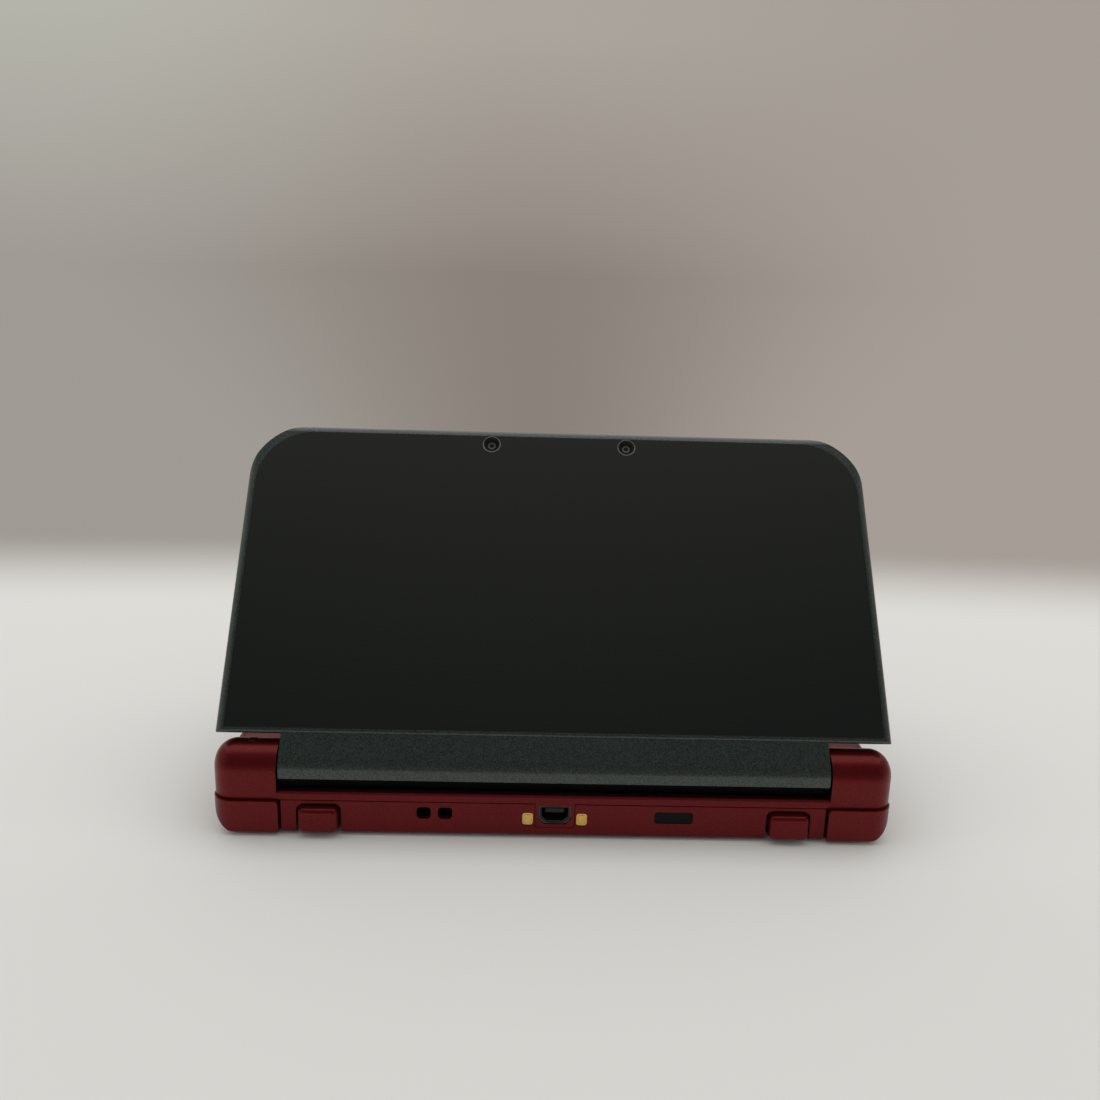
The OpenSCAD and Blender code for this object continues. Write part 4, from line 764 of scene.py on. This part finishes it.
for node in ("face_button_top", "face_button_right", "face_button_bottom", "face_button_left",
             "start_button", "select_button"):
    skin(node.replace("button", "cap"), round_key(*corners_mm(node)), body=node, material=cap_plastic,
         slot="button_plastic", stands_for=node)


def flat_rings(outlines, heights):
    """Rings that lie level: each outline holds (x, y) points and stands at its own height."""
    return np.array([np.column_stack([line, np.full(len(line), z)]) for line, z in zip(outlines, heights)])


# The home key is a bar with round ends; its face rises by the crown times 1 - f^2 to the middle line.
HOME_FLANGE, HOME_CROWN = 0.6, 0.1
key_low, key_high = corners_mm("home_button")
key_middle, wide = middle_of(key_low, key_high)[:2], (key_high - key_low)[:2] / 2
half_a, half_b = wide - HOME_FLANGE
foot, rim = key_low[2], key_high[2] - HOME_CROWN
home = [(0.0, foot)] + [(inset, rim - drop) for inset, drop in rounding(0.4)]
home += [(half_b - (half_b - 0.4) * f, rim + HOME_CROWN * (1 - f ** 2)) for f in (0.75, 0.5, 0.25, 0.08)]
flange = rounded(*wide, wide[1] - 0.01) + key_middle
skin("home_key", flat_rings([rounded(half_a - inset, half_b - inset, half_b - inset - 0.001) + key_middle
                             for inset, _ in home], [z for _, z in home]),
     flat_rings([flange, flange], [foot + FLANGE_LOW, foot + FLANGE_HIGH]),
     body="home_button", material=cap_plastic, slot="button_plastic", stands_for="home_button")

PLUS_REACH, PLUS_ARM, PLUS_BEND = 10.3, 3.5, 0.8         # an arm's length and half its width
PLATE_RADIUS, PLATE_THICK = 11, 0.8


def cross_outline(inset):
    """Outline of the direction pad drawn in by inset: a plus with rounded tips and filleted inner corners."""
    far, near = PLUS_REACH - inset, PLUS_ARM - inset
    return bent([(far, -near), (far, near), (near, near), (near, far), (-near, far), (-near, near),
                 (-far, near), (-far, -near), (-near, -near), (-near, -far), (near, -far), (near, -near)],
                PLUS_BEND)


def cross_rings(low, high):
    """Rings of the plus: straight side, a rounded edge, then rings drawn to the middle. Their height falls
    by a shallow bell, 0.4 exp(-(r/2.6)^2), so that the thumb finds the middle, and by 0.2 at the tips."""
    shrink = (0.85, 0.65, 0.48, 0.36, 0.26, 0.17, 0.08, 0.01)
    edge = [(cross_outline(inset), high[2] - drop) for inset, drop in rounding(CAP_EDGE)]
    levels = [(cross_outline(0.0), low[2] + 0.75)] + edge + [(edge[-1][0] * f, high[2]) for f in shrink]
    rings = flat_rings([line for line, _ in levels], [z for _, z in levels])
    reach = np.hypot(rings[1:, :, 0], rings[1:, :, 1])
    rings[1:, :, 2] -= 0.4 * np.exp(-(reach / 2.6) ** 2) + 0.2 * (reach / PLUS_REACH) ** 2
    return rings + middle_of(low, high) * [1, 1, 0]


pad_low, pad_high = corners_mm("dpad")
foot = pad_low[2]
plate = [(0.05, foot), (PLATE_RADIUS, foot), (PLATE_RADIUS, foot + PLATE_THICK), (0.05, foot + PLATE_THICK)]
skin("direction_pad", cross_rings(pad_low, pad_high),
     lathe(plate, middle_of(pad_low, pad_high) * [1, 1, 0]),
     body="dpad", material=cap_plastic, slot="button_plastic", stands_for="dpad")

# The thumb disc goes from its skirt up the neck and over the rim, down into a dish as deep as 1 - (r/R)^2.
STEM_HALF, STEM_HEIGHT = 2.3, 2.0
soft_touch = moulded("soft_touch", (0.045, 0.046, 0.049), 0.62, grain=0.25, depth=0.008)
disc_low, disc_high = corners_mm("circle_pad")
disc_middle = middle_of(disc_low, disc_high) * [1, 1, 0]
top, skirt = disc_high[2], (disc_high[0] - disc_low[0]) / 2
disc = [(0.05, top - 3.1), (skirt - 0.15, top - 3.1), (skirt, top - 2.95), (skirt, top - 2.65),
        (skirt - 0.15, top - 2.5), (4.2, top - 2.5), (4.2, top - 1.1), (7.0, top - 1.1), (7.4, top - 0.95),
        (7.6, top - 0.65), (7.55, top - 0.3), (7.38, top - 0.08), (7.1, top), (6.8, top - 0.05),
        (6.55, top - 0.2)]
disc += [(6.4 * f, top - 0.75 + 0.5 * f ** 2) for f in (1.0, 0.85, 0.7, 0.55, 0.4, 0.25, 0.1, 0.01)]
stem = bent(STEM_HALF * np.array([(1, 1), (-1, 1), (-1, -1), (1, -1)]), 0.2) + disc_middle[:2]
skin("thumb_disc", lathe(disc, disc_middle, around=96),
     flat_rings([stem, stem], [disc_low[2], disc_low[2] + STEM_HEIGHT]),
     body="circle_pad", material=soft_touch, slot="pad_rubber", stands_for="circle_pad")

nub_low, nub_high = corners_mm("c_stick")
nub = [(0.05, nub_low[2]), (2.3, nub_low[2]), (2.3, nub_high[2] - 0.75), (2.12, nub_high[2] - 0.55),
       (1.98, nub_high[2] - 0.3)] + edge_to(1.9, nub_high[2], 0.3, 0.10)
skin("pointing_nub", lathe(nub, middle_of(nub_low, nub_high) * [1, 1, 0]), body="base", material=soft_touch,
     slot="pad_rubber", stands_for="c_stick")

silicone = moulded("silicone", (0.20, 0.21, 0.22), 0.55, grain=0.8, depth=0.006)
for node in ("face_button_membrane", "dpad_membrane"):
    dress(node, silicone, 0.1)
for node in ("dpad_rocker", "circle_pad_base", "circle_pad_carriage"):
    dress(node, plastic_black, 0.1)
dress("control_switches", tray_steel, 0.1)

# ---------------------------------------------------------------- hinge hardware, feet and screws
# Steel pins turn in a bronze bushing on one side and in a spring-loaded friction clutch on the other.
# Five cross-head screws hold the cover, and four rubber feet are stuck into round seats.

pin_steel = bare_metal("pin_steel", (0.58, 0.58, 0.60), 0.24, stretch=(14, 1, 1))
bronze = bare_metal("bronze", (0.50, 0.33, 0.16), 0.35)
screw_black = bare_metal("screw_black", (0.10, 0.10, 0.11), 0.35)
foot_rubber = moulded("foot_rubber", (0.016, 0.016, 0.016), 0.75, grain=0.5, depth=0.01)
dress("hinge_pins", pin_steel, 0.15)
dress("shoulder_pins", pin_steel, 0.1)
dress("hinge_clutch", tray_steel, 0.15)
dress("hinge_bushing", bronze, 0.15)
dress("cover_screws", screw_black, 0.08)
dress("rubber_feet", foot_rubber, 0.2)

# ---------------------------------------------------------------- lid
# The shell and barrel are one moulding in graphite metallic paint. A clear-coated dark plate with a
# fine slanting weave is glued into its back, and a black cover closes the barrel from inside.

graphite = metallic_paint("graphite_metallic", (0.020, 0.027, 0.025), (0.075, 0.094, 0.088), metal=0.80,
                          roughness=0.46, grain=0.20, coat=(0.75, 0.07))
dress("lid_shell", graphite, 0.3, steps=3)
# The barrel's cover is black plastic, made darker and duller than the other black plastics as painted shade,
# so that it reads as the shadow under the barrel.
neck_black_shaded = moulded("neck_black_shaded", (0.0012, 0.0012, 0.0012), 0.6)
fixed(neck_black_shaded.node_tree.nodes["Principled BSDF"], Specular_IOR_Level=0.05)
dress("barrel_cover", neck_black_shaded, 0.15)

THREAD_STEP = 0.55 * MM
WAVE_STEP = 0.314                           # between the bands of a Wave Texture of scale 1, in metres


def woven_gloss():
    """Near-black plate: two sets of threads that slant 45 degrees each way lie under a hard clear coat."""
    material, tree, shader, place = finish("woven_gloss")
    threads = []
    for side in (1, -1):
        band = tree.nodes.new("ShaderNodeTexWave")
        fixed(band, Scale=WAVE_STEP / THREAD_STEP)
        slant = mapped(tree, place, Rotation=(0, 0, side * math.radians(45)))
        tree.links.new(slant, band.inputs["Vector"])
        threads.append(band.outputs["Fac"])
    cross = maths(tree, "MULTIPLY", *threads)
    tone = mixed(tree, cross, (0.0028, 0.0038, 0.0034), (0.0085, 0.0100, 0.0092))
    tree.links.new(tone, shader.inputs["Base Color"])
    tree.links.new(spread(tree, cross, 0.45, 0.30, 0.0, 1.0), shader.inputs["Roughness"])
    fixed(shader, Specular_IOR_Level=0.2, Coat_Weight=1.0, Coat_Roughness=0.03, Coat_IOR=1.5)
    return material


dress("lid_plate", woven_gloss(), 0.15)

# ---------------------------------------------------------------- cameras and side sliders of the lid
# Each camera is a black barrel with a thin bright trim, and its small lens sits deep in a conical well
# behind a ring. The two sliders at the lid's sides are black caps with ridges for the thumb.

LID_TURN = math.radians(-53)
CAMERA_X, CAMERA_Y = 17.7, -43.25           # on the closed lid, in millimetres


def opened(points):
    """Points of the closed lid turned about the hinge axis to where the lid stands at rest."""
    across, up = points[..., 1] - HINGE[1] / MM, points[..., 2] - HINGE[2] / MM
    return np.stack([points[..., 0], HINGE[1] / MM + across * math.cos(LID_TURN) - up * math.sin(LID_TURN),
                     HINGE[2] / MM + across * math.sin(LID_TURN) + up * math.cos(LID_TURN)], -1)


camera_black = moulded("camera_black", (0.0015, 0.0015, 0.0016), 0.6)
camera_trim = bare_metal("camera_trim", (0.34, 0.34, 0.33), 0.35, stretch=(1, 1, 1))
ring_dark = moulded("ring_dark", (0.050, 0.050, 0.048), 0.35)
camera_glass = tinted("camera_glass", (0.006, 0.007, 0.010), 0.05)
# Profiles of (radius, height) on the closed lid; the trim and the ring are hoops, closed on themselves.
barrel = [(0.05, 17.7), (2.35, 17.7), (2.35, 21.34), (2.12, 21.34), (1.95, 21.2), (1.45, 20.45), (1.33, 20.4),
          (1.33, 19.85), (0.05, 19.85)]
trim = [(2.35, 20.9), (2.35, 21.36), (2.31, 21.4), (2.20, 21.4), (2.14, 21.36), (2.14, 20.9), (2.35, 20.9)]
lens = [(0.02, 19.8), (1.3, 19.8), (1.3, 20.18)]
lens += [(1.28 * f, 20.38 - 0.18 * f ** 2) for f in (1.0, 0.85, 0.7, 0.5, 0.3, 0.1, 0.01)]
ring = [(1.12, 20.2), (1.12, 20.34), (1.04, 20.4), (0.62, 20.4), (0.54, 20.36), (0.54, 20.2), (1.12, 20.2)]
for side, x in (("left", -CAMERA_X), ("right", CAMERA_X)):
    for part, profile, around, material, slot, node in (
            ("barrel", barrel, 72, camera_black, "black_plastic", "outer_cameras"),
            ("trim", trim, 72, camera_trim, "steel", "outer_cameras"),
            ("lens", lens, 48, camera_glass, "camera_glass", "camera_windows"),
            ("ring", ring, 48, ring_dark, "black_plastic", "outer_cameras")):
        skin("camera_" + part + "_" + side, opened(lathe(profile, (x, CAMERA_Y, 0), around=around)),
             body="lid", material=material, slot=slot, stands_for=node)

SLIDER_FACE, SLIDER_ROOT = 80.6, 78.2       # from the console's middle out to the cap's two ends
SLIDER_Y, SLIDER_Z, SLIDER_HALF = 19.35, 17.3, 3.8
BAR_HALF, BAR_RISE = 1.0, 0.8
RIDGE_STEP, RIDGE_DEPTH, END_ROUND = 0.9, 0.22, 0.4
RUNNER_HALF = 5.0


def slider_rings(side):
    """Rings along Y: a rounded bar that reaches out to the lid's side, less 0.22 |cos| ridges every 0.9 mm,
    and rounded off over its last 0.4 mm; then the runner behind the wall."""
    y = np.linspace(-SLIDER_HALF, SLIDER_HALF, 77)[:, None]
    ends = 0.5 * np.clip((np.abs(y) - SLIDER_HALF + END_ROUND) / END_ROUND, 0, 1) ** 2
    face = SLIDER_FACE - RIDGE_DEPTH * np.abs(np.cos(np.pi * y / RIDGE_STEP)) - ends
    bar = rounded(BAR_HALF, BAR_RISE, 0.3, 4)
    x = bar[:, 0] + np.where(bar[:, 0] > 0, face - BAR_HALF, SLIDER_ROOT + BAR_HALF)
    cap = np.stack([side * x, SLIDER_Y + y + 0 * x, SLIDER_Z + bar[:, 1] + 0 * x], -1)
    runner = rounded(0.75, 1.4, 0.2, 3) * [side, 1] + [side * (SLIDER_ROOT - 0.25), SLIDER_Z]
    return opened(cap), opened(along_y([runner, runner], [SLIDER_Y - RUNNER_HALF, SLIDER_Y + RUNNER_HALF]))


for node, side, name in (("volume_slider", -1, "volume_thumb"), ("depth_slider", 1, "depth_thumb")):
    skin(name, *slider_rings(side), body=node, material=cap_plastic, slot="button_plastic",
         stands_for=node, crease=50)

# ---------------------------------------------------------------- inside of the lid
# A black frame with a raised rim carries the glued-in lens, the speaker holes and the bumpers.
# The upper screen, the speakers and a small board lie behind it.

dress("lid_bezel", frame_black, 0.12)
lens_glass = screen_face("lens_glass", 106.2, field=(0.010, 0.011, 0.012), border=(0.004, 0.004, 0.005),
                         roughness=0.05)
dress("screen_lens", lens_glass, 0.1)
dress("upper_lcd", tray_steel, 0.2)
dress("lid_board", board_green, 0)
dress("speakers", plastic_black, 0.3)
dress("bumper_pads", foot_rubber, 0.15)
dress("screw_caps", frame_black, 0.1)
dress("inner_camera", camera_black, 0.08)
